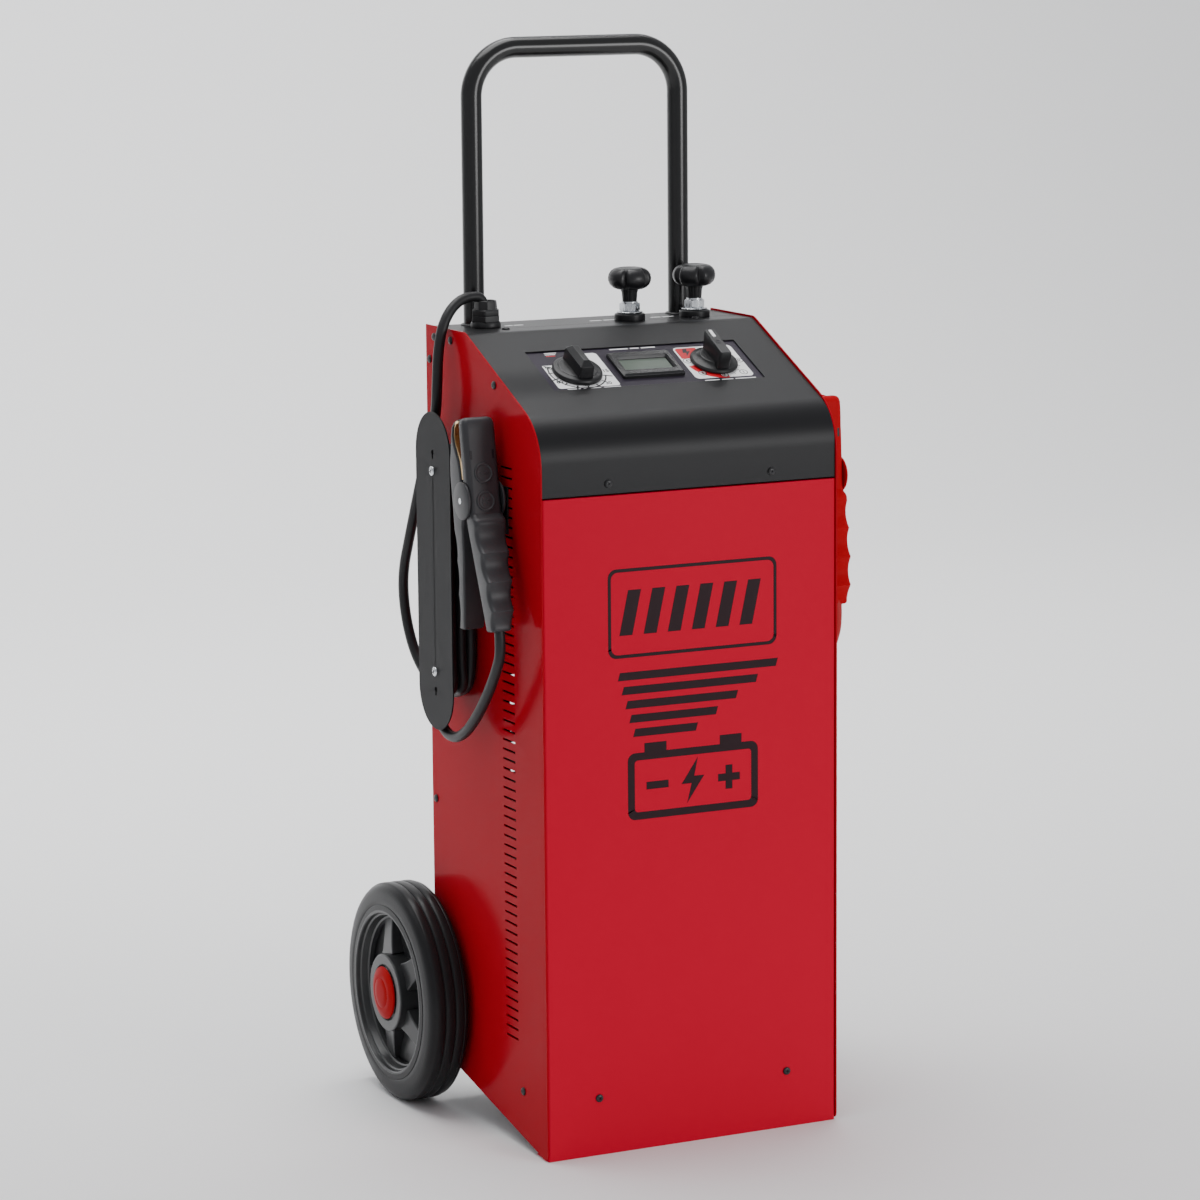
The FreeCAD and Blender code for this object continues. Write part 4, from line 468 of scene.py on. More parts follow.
outer_path, inner_path = profile_path(0), profile_path(1.5)
hood_outer = outer_path + [(SEAM - 0.25, HOOD_TOP)]
hood_inner = inner_path + [(SEAM - 0.25, HOOD_TOP - 1.5)]
label_row = 22                    # stretch of the section between the window's edges
stations = (-INSIDE, LABEL_X - LABEL_HALF_WIDTH, LABEL_X + LABEL_HALF_WIDTH, INSIDE)
piece("hood_front_sheet", skin(hood_outer, hood_inner, stations, [(1, label_row)]),
      HOOD, bevel=0.35, sharp=28, replaces="hood")
piece("hood_top_plate", skin([(SEAM + 0.25, HOOD_TOP), (BACK - 1, HOOD_TOP), (BACK - 1, 777)],
                             [(SEAM + 0.25, HOOD_TOP - 1.5), (BACK - 2.5, HOOD_TOP - 1.5),
                              (BACK - 2.5, 777)], (-INSIDE, INSIDE)),
      HOOD, bevel=0.3, sharp=28)
piece("hood_seam_backing", cuboid((-INSIDE, INSIDE), (SEAM - 6, SEAM + 6), (788.6, 789.4)),
      INNER)

# ---- front panel
face_y = FRONT + 1
folded = [(-INSIDE, face_y + 14), (-INSIDE, face_y), (INSIDE, face_y), (INSIDE, face_y + 14)]
folded_in = [(INSIDE - 1.5, face_y + 14), (INSIDE - 1.5, face_y + 1.5),
             (-INSIDE + 1.5, face_y + 1.5), (-INSIDE + 1.5, face_y + 14)]
front_sheet = block(rounded(folded + folded_in, [0, 2.2, 2.2, 0, 0, 0.7, 0.7, 0], 5), 0, 648.5)
front_lip = cuboid((-INSIDE + 1.5, INSIDE - 1.5), (face_y + 1.5, face_y + 14), (647, 648.5))
front_foot = cuboid((-INSIDE + 1.5, INSIDE - 1.5), (face_y + 1.5, face_y + 30), (0, 1.5))
piece("front_sheet", joined(front_sheet, front_lip, front_foot), RED, bevel=0.35,
      replaces="front_panel")


# ---- printed shapes
def print_on_slope(name, outlines, level, finish):
    """Thin printed areas on the control label; level lifts one print over another."""
    low = LABEL + 0.06 * (level - 1)
    shapes = [block(outline, low, low + 0.06) for outline in outlines]
    return piece(name, joined(*shapes), finish, at=SLOPE_AT)


def print_on_front(name, outlines, finish):
    """Thin printed areas on the front panel, in (x, z)."""
    shapes = []
    for outline in outlines:
        low = face_y - 0.05
        rows = [[(x, y, z) for x, z in outline] for y in (low, low + 0.05)]
        shapes.append(loft(rows))
    return piece(name, joined(*shapes), finish)


def arc_band(centre, inner, outer, start, end, steps=40):
    """Part of a ring between two angles in degrees."""
    x, y = centre
    angles = [radians(start + (end - start) * i / steps) for i in range(steps + 1)]
    out = [(x + outer * cos(a), y + outer * sin(a)) for a in angles]
    back = [(x + inner * cos(a), y + inner * sin(a)) for a in reversed(angles)]
    return out + back


def ring_band(centre, inner, outer, steps=32):
    """Whole ring as a row of quads."""
    x, y = centre
    spokes = [(cos(2 * pi * i / steps), sin(2 * pi * i / steps))
              for i in range(steps + 1)]
    return [[(x + inner * a[0], y + inner * a[1]), (x + outer * a[0], y + outer * a[1]),
             (x + outer * b[0], y + outer * b[1]), (x + inner * b[0], y + inner * b[1])]
            for a, b in zip(spokes, spokes[1:])]


def tick(centre, angle, inner, outer, width):
    """Straight mark that points at a centre, at an angle in degrees."""
    a = radians(angle)
    along, across = (cos(a), sin(a)), (-sin(a) * width / 2, cos(a) * width / 2)
    corners = []
    for reach, side in ((inner, -1), (outer, -1), (outer, 1), (inner, 1)):
        corners.append((centre[0] + along[0] * reach + across[0] * side,
                        centre[1] + along[1] * reach + across[1] * side))
    return corners


def numeral(text, x, y, height):
    """Flat outline of a dial number, as (points, faces) in millimetres."""
    curve = bpy.data.curves.new("numeral", "FONT")
    curve.body = text
    curve.align_x = "CENTER"
    curve.align_y = "CENTER"
    curve.size = height * 1.4
    curve.extrude = 0.03
    curve.offset = 0.12
    holder = add("numeral", curve)
    bpy.context.view_layer.update()
    mesh = bpy.data.meshes.new_from_object(holder)
    points = [(p.co.x + x, p.co.y + y, p.co.z) for p in mesh.vertices]
    faces = [tuple(f.vertices) for f in mesh.polygons]
    bpy.data.objects.remove(holder)
    bpy.data.curves.remove(curve)
    bpy.data.meshes.remove(mesh)
    return points, faces


piece("label_plate", block(rect(-116.5, 122.5, 71, 154), LABEL - 1.0, LABEL), LABEL_BASE,
      replaces="control_label", at=SLOPE_AT)
timer_area = rounded([(-104, 80.5), (-38, 80.5), (-38, 142.5), (-62, 142.5), (-62, 124),
                      (-104, 124)], [3, 3, 4, 0.1, 0.1, 1.5])
print_on_slope("timer_scale", [timer_area], 1, PRINT_WHITE)
timer_ticks = [tick(TIMER, 152 + 48 * k, 25, 35.5 if k else 33, 1.7) for k in range(5)]
timer_ticks += [tick(TIMER, 176 + 48 * k, 25.5, 30, 1.5) for k in range(4)]
timer_ticks.append(arc_band(TIMER, 27.8, 29.3, 150, 346, 60))
print_on_slope("timer_ticks", timer_ticks, 2, PRINT_BLACK)
numbers = [numeral(text, x, y, 5.0) for text, x, y in (
    ("90", -99.0, 118.6), ("60", -98.4, 92.6), ("45", -73.6, 84.2), ("30", -49.0, 85.6),
    ("15", -42.4, 108.0))]
selector_area = rounded(rect(45.5, 109.8, 82.5, 142.3), 5)
print_on_slope("selector_scale", [selector_area], 1, PRINT_WHITE)
start_block = rounded([(47.2, 121), (60, 121), (70.5, 128), (70.5, 140.6), (47.2, 140.6)],
                      [1, 1, 1, 1, 3.6])
print_on_slope("selector_start", [start_block, arc_band(SELECTOR, 22, 29.5, 188, 280)], 2,
               PRINT_RED)
bolt_icon = [(55.5, 139), (60.5, 139), (58.6, 134.6), (62.4, 134.6), (54.6, 125.2), (56.8, 131.8),
             (53.2, 131.8)]
marks = [(106.2, 112.2, "0"), (100.8, 89.8, "1"), (78.2, 86.9, "2"), (56.7, 92.4, "3"),
         (50.6, 116.4, "4")]
rings = [quad for x, y, _ in marks for quad in ring_band((x, y), 3.6, 4.3)]
discs = [[(x + px, y + py) for px, py, _ in ring(3.8, 0, 32)] for x, y, _ in marks]
print_on_slope("selector_discs", discs, 2, PRINT_WHITE)
selector_ticks = [tick(SELECTOR, angle, 24.5, 27.0, 0.7) for angle in range(-80, 85, 20)]
print_on_slope("selector_marks", rings + [bolt_icon] + selector_ticks, 3, PRINT_BLACK)
numbers += [numeral(text, x, y, 4.0) for x, y, text in marks]
piece("dial_numbers", moved(joined(*numbers), shift(0, 0, LABEL + 0.18)), PRINT_BLACK,
      at=SLOPE_AT)
dashes = [rect(a, b, y, y + height) for a, b, y, height in (
    (-96, -82, 77.6, 1.5), (-79, -76, 77.6, 1.5), (-73, -60, 77.6, 1.5), (-57, -39, 77.6, 1.5),
    (53, 69, 77.8, 1.5), (71.5, 84, 77.8, 1.5), (86.5, 109, 77.8, 1.5), (-21, -1, 145.6, 1.6),
    (1.5, 11, 145.6, 1.6), (13.5, 29, 145.6, 1.6), (-92, -79, 145.8, 1.3),
    (-92, -81, 143.2, 1.3))]
print_on_slope("label_dashes", dashes, 1, PRINT_WHITE)
print_on_slope("label_dash_red", [rect(-92, -82, 140.4, 141.8)], 1, PRINT_RED)


def slanted(x0, x1, z0, z1, lean=0.2):
    """Bar that leans to the right."""
    rise = z1 - z0
    return [(x0, z0), (x1, z0), (x1 + rise * lean, z1), (x0 + rise * lean, z1)]


def frame_band(x0, x1, z0, z1, width, corner):
    """Rounded frame as a row of four-sided areas."""
    out = rounded(rect(x0, x1, z0, z1), corner, 8)
    inner = rounded(rect(x0 + width, x1 - width, z0 + width, z1 - width), corner - width * 0.6, 8)
    bands = []
    for i in range(len(out)):
        j = (i + 1) % len(out)
        bands.append([out[i], out[j], inner[j], inner[i]])
    return bands


front_marks = frame_band(-90, 93, 490, 577, 3.4, 9)
front_marks += [slanted(x, x + 14, 512, 556, 0.22) for x in range(-78, 53, 26)]
print_on_front("front_badge", front_marks, DECAL)
stripes = [slanted(-80 + 4 * k, 92 - 22 * k, 468 - 14 * k, 476 - 14 * k, 0.3) for k in range(5)]
print_on_front("front_stripes", stripes, DECAL)
battery = frame_band(-70, 72, 330, 396, 7.5, 8)
battery += [rect(-52, -28, 396, 405), rect(30, 54, 396, 405)]
battery += [rect(-50, -26, 359, 366.5), rect(28, 52, 359, 366.5), rect(36.2, 43.8, 350.8, 359),
            rect(36.2, 43.8, 366.5, 374.8)]
battery.append([(6, 386), (-12, 360.5), (-1, 360.5), (-6, 341), (13, 367.5), (2, 367.5)])
print_on_front("front_battery_sign", battery, DECAL)

# ---- meter
bezel_rings = []
for half_x, half_y, z in ((33.5, 22, LABEL), (33.5, 22, LABEL + 3.2), (31.6, 20.1, LABEL + 5.0),
                          (28.2, 13.2, LABEL + 5.0), (26.4, 11.2, LABEL + 2.2),
                          (26.4, 11.2, LABEL - 2.0)):
    bezel_rings.append([(x + LABEL_X, y + 112.4, z) for x, y in soft_rect(half_x, half_y, 1.2, 4)])
piece("meter_frame", loft(bezel_rings, (False, False)), BEZEL, sharp=20, bevel=0.3,
      replaces="meter_bezel", at=SLOPE_AT)
piece("meter_glass", block(rect(-24.4, 30.4, 100.4, 124.4), LABEL + 0.9, LABEL + 1.3), DISPLAY,
      replaces="meter_window", at=SLOPE_AT)


# ---- control knobs
def bar_ring(x_half, y_low, y_high, z_of, corner):
    """Ring of a bar grip, raised by a function of its place along the bar."""
    outline = rounded(rect(-x_half, x_half, y_low, y_high), corner, 4)
    return [(x, y, z_of(y)) for x, y in outline]


skirt = lathe([(0, -0.5), (24.4, -0.5), (25, 0.2), (25, 2.6), (24.2, 4.2), (22.5, 5.0),
               (19.6, 5.2), (19.2, 5.6), (17.8, 6.0), (0, 6.0)], 72)
timer_grip = loft([
    bar_ring(8.0, -20.8, 20.8, lambda y: 5.5, 2.0), bar_ring(7.6, -20.4, 20.4, lambda y: 12, 2.0),
    bar_ring(7.3, -19.8, 19.8, lambda y: 17.0, 1.8), bar_ring(3.0, -14.5, 14.5, lambda y: 22.0, 1.0)])
piece("timer_dial", joined(skirt, timer_grip), PLASTIC_GLOSS, body="timer_knob", sharp=22,
      bevel=0.5, replaces="timer_knob",
      at=SLOPE_AT @ shift(TIMER[0], TIMER[1], LABEL + 0.8))
selector_skirt = lathe([(0, -0.3), (23.4, -0.3), (24.2, 0.4), (24.2, 2.0), (22.8, 3.6), (19.5, 4.6),
                        (17.0, 6.0), (15.5, 8.0), (0, 8.6)], 72)
selector_grip = loft([
    bar_ring(7.4, -20.5, 15, lambda y: 4.0, 2.5), bar_ring(6.9, -21.0, 17, lambda y: 13, 2.5),
    bar_ring(6.4, -21.2, 20.5, lambda y: 19.5 + (y + 21) * 0.035, 2.2),
    bar_ring(5.4, -20.2, 21.5, lambda y: 22.2 + (y + 21) * 0.05, 1.6)])
piece("selector_dial", joined(selector_skirt, selector_grip), PLASTIC_GLOSS,
      body="selector_knob", sharp=26, bevel=0.6, segments=3, replaces="selector_knob",
      at=SLOPE_AT @ shift(SELECTOR[0], SELECTOR[1], LABEL + 0.8))
top_tilt = atan(0.05)
pointer_at = SLOPE_AT @ shift(SELECTOR[0], SELECTOR[1] + 14.5, LABEL + 0.8 + 23.98) @ \
    Matrix.Rotation(top_tilt, 4, "X")
piece("selector_pointer", block(soft_rect(1.7, 6.0, 0.8), -0.3, 0.14), PRINT_WHITE,
      body="selector_knob", at=pointer_at)
# Dark disc on the knob's top: painted shade of its screw recess.
recess_at = SLOPE_AT @ shift(SELECTOR[0], SELECTOR[1] - 0.5, LABEL + 0.8 + 23.22) @ \
    Matrix.Rotation(top_tilt, 4, "X")
piece("selector_screw_recess_shade", lathe([(0, 0.10), (2.6, 0.10), (2.9, 0.2), (3.2, 0.1), (3.2, -0.4),
                                      (0, -0.4)], 24),
      PRINT_BLACK, body="selector_knob", at=recess_at)


# ---- handle
def swept(points, radius, count=32, ends=(True, True)):
    """Round bar along a list of points."""
    points = [Vector(p) for p in points]
    rings = []
    normal = None
    for i, here in enumerate(points):
        before = points[max(0, i - 1)]
        after = points[min(len(points) - 1, i + 1)]
        along = (after - before).normalized()
        if normal is None:
            normal = along.orthogonal().normalized()
        normal = (normal - along * normal.dot(along)).normalized()
        side = along.cross(normal)
        rings.append([here + (normal * cos(2 * pi * k / count)
                              + side * sin(2 * pi * k / count)) * radius
                      for k in range(count)])
    return loft(rings, ends)


handle_line = rounded([(-114, 560), (-114, 1064), (114, 1064), (114, 560)], [0, 48, 48, 0], 24)
leg_y = BACK - 15
piece("handle_bar", swept([(x, leg_y, z) for x, z in handle_line], 10.5, 40), HANDLE,
      replaces="handle_tube", sharp=40)
for side, x in (("left", -114), ("right", 114)):
    grommet = lathe([(10.6, 0.0), (13.6, 0.0), (13.6, 0.7), (12.6, 1.5), (10.6, 1.9)], 40)
    piece("handle_grommet_" + side, grommet, PLASTIC,
          at=shift(x, leg_y, HOOD_TOP))


# ---- terminals
def lobed(radius, z, start, depth, lobes=5, count=100):
    """Ring with narrow grooves between its lobes."""
    row = []
    for i in range(count):
        a = 2 * pi * i / count
        groove = max(0.0, cos(lobes * (a - start))) ** 5
        reach = radius * (1 - depth * groove)
        row.append((reach * cos(a), reach * sin(a), z))
    return row


def fluted(radius, z, flutes=12, depth=0.05, count=144):
    """Ring with shallow flutes."""
    row = []
    for i in range(count):
        a = 2 * pi * i / count
        reach = radius * (1 - depth * max(0.0, cos(flutes * a)))
        row.append((reach * cos(a), reach * sin(a), z))
    return row


def knob_shape(start):
    """Lobed head on a fluted stem, its foot at Z 0."""
    rows = []
    for reach, z, depth in (
            (9.4, 0, 0.0), (13, 0.4, 0.05), (17, 2.0, 0.10), (20.2, 5.0, 0.15), (21.7, 8.6, 0.18),
            (21.9, 11.5, 0.19), (21.2, 15.0, 0.18), (19.0, 18.4, 0.15), (16.0, 20.6, 0.10),
            (13.0, 21.6, 0.04), (11.0, 21.9, 0.0), (10.2, 21.5, 0.0), (5.0, 21.2, 0.0),
            (0.4, 21.15, 0.0)):
        rows.append(lobed(reach, z + 12, start, depth))
    stem = [fluted(radius, z)
            for radius, z in ((7.1, 0), (7.3, 0.6), (8.0, 9), (9.2, 12.2), (9.3, 13))]
    return joined(loft(rows), loft(stem))


for side, x, start in (("low", 40.0, 230.5), ("high", 113.0, 260.1)):
    base = shift(x, TERMINAL_Y, HOOD_TOP)
    insulator = lathe([(5.2, 0), (15.4, 0), (15.5, 0.5), (15.5, 5.8), (14.9, 6.8), (13.2, 7.4),
                       (12.2, 8.0), (5.2, 8.0)], 56)
    flange = lathe([(5.0, 8.0), (13.0, 8.0), (13.1, 8.5), (12.6, 9.1), (10.4, 9.6), (5.0, 9.6)], 48)
    nut = moved(hex_nut(18, 8.0, radians(244.1 + (2 if side == "low" else 14))),
                shift(0, 0, 9.6))
    crown = moved(lathe([(5.0, 8.0), (8.6, 8.0), (8.4, 8.3), (5.0, 8.3)], 40), shift(0, 0, 9.4))
    piece("insulator_" + side, insulator, PLASTIC_GLOSS, at=base, sharp=30, bevel=0.25,
          replaces="terminal_insulators")
    piece("nut_" + side, joined(flange, nut, crown), ZINC, at=base, sharp=25, bevel=0.2,
          replaces="terminal_nuts")
    body_name = side + "_voltage_knob"
    piece("knob_" + side, knob_shape(radians(start)), PLASTIC_GLOSS, body=body_name,
          at=base @ shift(0, 0, 19.1), sharp=38, replaces=body_name)

# ---- gland
gland_at = shift(-114, BACK - 43, HOOD_TOP)
turn = radians(244.1)


def faceted(sides, rows, start):
    """Regular prism through (flat radius, height) rows, with softened corners."""
    rings = []
    for flat, z in rows:
        corner = flat / cos(pi / sides)
        outline = rounded([(corner * cos(start + 2 * pi * i / sides),
                            corner * sin(start + 2 * pi * i / sides))
                           for i in range(sides)], flat * 0.09, 3)
        rings.append([(x, y, z) for x, y in outline])
    return loft(rings)


gland_base = lathe([(5.4, 0), (15.0, 0), (15.2, 0.8), (14.9, 4.6), (14.2, 6.0), (5.4, 6.2)], 48)
gland_hex = faceted(6, ((12.9, 5.5), (13.3, 6.2), (13.3, 10), (13.2, 12)), turn)
piece("gland_body", joined(gland_base, gland_hex), PLASTIC, sharp=28, bevel=0.35, at=gland_at,
      replaces="lead_gland_body")
cap_hex = faceted(6, ((13.0, 12.0), (13.1, 12.4), (13.1, 16.8), (12.0, 18.2)), turn)
cap_top = faceted(8, ((10.9, 17.5), (10.7, 22), (10.2, 26.2), (9.4, 27.0), (8.6, 26.8), (5.6, 19)),
                  turn + 0.2)
piece("gland_cap", joined(cap_hex, cap_top), PLASTIC, sharp=28, bevel=0.35, at=gland_at,
      replaces="lead_gland_cap")
for index, (x0, x1) in enumerate(((-92, -72), (2, 32), (70, 96))):
    strips = [block(rect(a, b, BACK - 42, BACK - 38), HOOD_TOP, HOOD_TOP + 0.06)
              for a, b in ((x0, x0 + (x1 - x0) * 0.42), (x0 + (x1 - x0) * 0.5, x1))]
    piece("top_mark_%d" % index, joined(*strips), PRINT_WHITE)


# ---- screws
def pan_head(radius, height):
    """Domed screw head with a dished middle, its seat at Z 0."""
    return lathe([(radius * 0.98, 0), (radius, height * 0.25), (radius * 0.93, height * 0.6),
                  (radius * 0.72, height * 0.88), (radius * 0.42, height * 0.97),
                  (radius * 0.36, height * 0.96), (radius * 0.22, height * 0.55),
                  (0, height * 0.5)], 28)


def cross(radius, height):
    """Dark cross: painted shade of a screw's cross recess."""
    return joined(*[block(soft_rect(radius * half_x, radius * half_y, radius * 0.05, 2),
                          height * 0.55, height * 0.995)
                    for half_x, half_y in ((0.52, 0.12), (0.12, 0.52))])


def on_seats(shape, places, angles):
    """The same shape on each seat, each turned about its own axis."""
    return joined(*[moved(shape, place @ Matrix.Rotation(angle, 4, "Z"))
                    for place, angle in zip(places, angles)])


screw_z = TOP - 11
mid = FRONT + 102.5
side_screws = [(BACK - 21, screw_z), (BACK - 61, screw_z),
               (mid, SLOPE_FOOT + 102.5 * tan(SLOPE) - 11.5 / cos(SLOPE)),
               (BACK - 9.5, TOP - 34), (BACK - 9.5, 313),
               (FRONT + 53.5, 58.5)]
seats = [along_x(HALF * sign, y, z, sign) for sign in (-1, 1) for y, z in side_screws]
seats += [along_y(x, FRONT + 1, 57.5, -1) for x in (-103.5, 103.5)]
seats += [along_y(x, FRONT + 2, 660, -1) for x in (-88, 88)]
seats += [shift(x, BACK - 71, HOOD_TOP) for x in (-105, 105)]
seats += [along_y(x, BACK - 1, z, 1) for x in (-80, 80) for z in (460, 540)]
spins = [0.6 * i for i in range(len(seats))]
piece("panel_screw_heads", on_seats(pan_head(4.0, 2.2), seats, spins), SCREW_BLACK,
      replaces="panel_screws")
# Dark crosses on the panel screws: painted shade of their recesses.
piece("panel_screw_recess_shade", on_seats(cross(4.0, 2.2), seats, spins), PRINT_BLACK)
wrap_seats = [along_x((HALF + 36.5) * sign, FRONT + WRAP_Y, WRAP_Z + WRAP_REACH * level, sign)
              for sign in (-1, 1) for level in (-1, 1)]
wrap_spins = [0.5] * len(wrap_seats)
piece("wrap_screw_heads", on_seats(pan_head(5.0, 2.6), wrap_seats, wrap_spins), ZINC,
      replaces="wrap_screws")
# Dark crosses on the zinc wrap screws: painted shade of their recesses.
piece("wrap_screw_recess_shade", on_seats(cross(5.0, 2.6), wrap_seats, wrap_spins), SCREW_BLACK)


# ---- wheels
def wheel(side, sign):
    """Tyre with three tread bands, five-spoke rim and hub cap."""
    inner = HALF + 5
    at = along_x(0, BACK + 13, WHEEL, sign)
    tyre_rows = [(84, inner), (98, inner), (104, inner + 0.3), (107.6, inner + 1.4),
                 (109.6, inner + 3.2), (110.4, inner + 5.6)]
    for low, high in ((7.0, 15.0), (16.8, 25.8), (27.6, 36.4)):
        tyre_rows += [(110.0, inner + low - 0.7), (110.9, inner + low), (111.4, inner + low + 1.2),
                      (111.5, inner + (low + high) / 2), (111.4, inner + high - 1.2),
                      (110.9, inner + high), (110.0, inner + high + 0.7)]
    tyre_rows += [(109.2, inner + 38.6), (107.4, inner + 40.4), (104.6, inner + 41.8),
                  (101, inner + 42.5), (95, inner + 43.0), (90.6, inner + 43.2),
                  (89.6, inner + 42.8), (88.8, inner + 43.5), (84, inner + 43.8)]
    piece(side + "_tyre_tread", lathe(tyre_rows, 144), TYRE, body=side + "_wheel", sharp=34, at=at,
          replaces=side + "_tyre")
    outer = inner + 42
    rim_rows = [(84.3, inner + 1), (84.3, outer + 1.4), (83.8, outer + 2), (81.9, outer + 2),
                (81.0, outer + 1.2), (80.2, outer - 2.4), (78.6, outer - 3.2),
                (76.6, outer - 9.4), (74.8, outer - 10.2), (74.0, outer - 15), (78, outer - 16),
                (81, outer - 24), (81, inner + 1), (84.3, inner + 1)]
    back_wall = [(36, outer - 20), (79, outer - 20), (79, outer - 17), (36, outer - 17),
                 (36, outer - 20)]
    hub_rows = [(8.1, inner), (34, inner), (36, outer - 24), (38.6, outer - 22),
                (39.4, outer - 1), (39.8, outer + 1.6), (39.6, outer + 3.2), (38.4, outer + 4),
                (29.4, outer + 4), (28.6, outer + 3.4), (28.2, outer - 1.5), (8.1, outer - 1.5),
                (8.1, inner)]
    shapes = [lathe(rim_rows, 120), lathe(back_wall, 96), lathe(hub_rows, 96)]
    for index in range(5):
        rows = []
        for reach, half, top in ((37.5, 15, outer - 3.8), (46, 12.8, outer - 5.4),
                                 (60, 10.8, outer - 8.2), (72, 10.6, outer - 10.6),
                                 (79.5, 12.5, outer - 12.2)):
            rows.append([(reach, -half, outer - 23), (reach, half, outer - 23),
                         (reach, half, top - 0.9), (reach, half - 1.4, top),
                         (reach, 1.4 - half, top), (reach, -half, top - 0.9)])
        first = 36 if sign < 0 else 0
        shapes.append(moved(loft(rows), Matrix.Rotation(radians(first + 72 * index), 4, "Z")))
    piece(side + "_rim_spokes", joined(*shapes), RIM, body=side + "_wheel", sharp=30, bevel=0.4,
          at=at, replaces=side + "_rim")
    cap_rows = [(0, outer + 4.3), (26.6, outer + 4.3), (27.0, outer + 4.8), (26.6, outer + 5.8),
                (25.0, outer + 6.6), (20.5, outer + 7.9), (16.0, outer + 8.7), (15.4, outer + 8.5),
                (14.8, outer + 8.9), (8, outer + 9.45), (0, outer + 9.6)]
    piece(side + "_cap_dome", lathe(cap_rows, 72), CAP_RED, body=side + "_wheel", sharp=35, at=at,
          replaces=side + "_hub_cap")


wheel("left", -1)
wheel("right", 1)


# ---- clamps
# Sections of a moulded half: height over the pivot, inner face, outer face, half width.
FRONT_HALF = (
    (79.0, 5.5, 9.5, 11), (78.3, 3.6, 11.6, 13.8), (76.4, 2.4, 13.4, 15.8), (73, 2.0, 14.4, 16.8),
    (66, 2.0, 14.7, 17), (20, 1.5, 14.7, 17), (-10, 1.4, 14.7, 17), (-14, 1.7, 15.0, 17),
    (-16.5, 2.0, 17.4, 17), (-19, 2.2, 21.6, 17), (-21.5, 2.5, 23.4, 17), (-24, 2.8, 23.9, 16.8),
)
REAR_HALF = (
    (78.8, 8.8, 10.4, 9), (77.4, 8.3, 11.4, 13), (75.2, 8.0, 12.6, 15.4), (71.5, 11.0, 14.6, 16.8),
    (63, 13.3, 18.1, 17), (54, 11.5, 22.0, 17), (38, 4.5, 28.2, 17), (26, 3.4, 29.9, 17),
    (0, 1.6, 30.2, 17), (-14, 3.0, 30.5, 17), (-24, 9.0, 31.2, 16.8),
)
FRONT_GRIP = ((-24, 2.8, 24.0), (-52.8, 6.0, 28.9), (-82, 9.3, 33.9), (-109, 12.0, 35.2),
              (-125.5, 13.6, 33.4))
REAR_GRIP = ((-24, 9.0, 31.2), (-52, 15.6, 33.2), (-90, 27.2, 42.2), (-121.5, 37.4, 50.8))


def between(table, z):
    """Row of a table of sections at a height, straight between its rows."""
    for upper, lower in zip(table, table[1:]):
        if upper[0] >= z >= lower[0]:
            share = (upper[0] - z) / (upper[0] - lower[0])
            return [a + (b - a) * share for a, b in zip(upper[1:], lower[1:])]
    return list(table[-1][1:])


def clamp_section(z, inner, outer, wide, way, corner):
    """Ring of a moulded half between its inner and outer face."""
    middle, thick = (inner + outer) / 2, (outer - inner) / 2
    outline = rounded(rect(-wide, wide, -thick, thick), [corner * 0.5, corner * 0.5, corner, corner],
                      5)
    return [(x, way * (middle + y), z) for x, y in outline]


def clamp_rings(rear):
    """Rings of one moulded half: smooth shell over a grip with finger grooves."""
    way = 1 if rear else -1
    shell, grip = (REAR_HALF, REAR_GRIP) if rear else (FRONT_HALF, FRONT_GRIP)
    rings_made = []
    for z, inner, outer, wide in shell:
        rings_made.append(clamp_section(z, inner, outer, wide, way,
                                        min(5.5, (outer - inner) * 0.45)))
    start, end = shell[-1][0], grip[-1][0]
    grooves, depth, steps = (3, 2.6, 54) if rear else (3.62, 5.4, 76)
    for step in range(1, steps + 1):
        share = step / steps
        z = start + (end - start) * share
        inner, outer = between(grip, z)
        phase = share * grooves % 1
        outer -= depth * (1 - (2 * phase - 1) ** 2)
        wide = 16.8 + (10.8 - 16.8) * share
        rings_made.append(clamp_section(z, inner, outer, wide, way, 4.0))
    inner, outer = between(grip, end)
    rings_made.append(clamp_section(end - 1.6, inner + 1, outer - depth - 0.5, 9.6, way, 3.5))
    rings_made.append(clamp_section(end - 2.2, inner + 3, outer - depth - 3, 7.6, way, 2.5))
    return rings_made


JAW_LINE = (
    (4.4, 20.3), (5.4, 39), (9.4, 47.5), (13.1, 55), (14.8, 63.5), (12.2, 71.6), (6.4, 76.8),
    (0.2, 76.8), (0.2, 74.6), (5.8, 74.4), (10.4, 70.4), (12.8, 63.5), (11.2, 56), (7.2, 48.5),
    (3.2, 41), (0.2, 36), (0.2, 20.3),
)


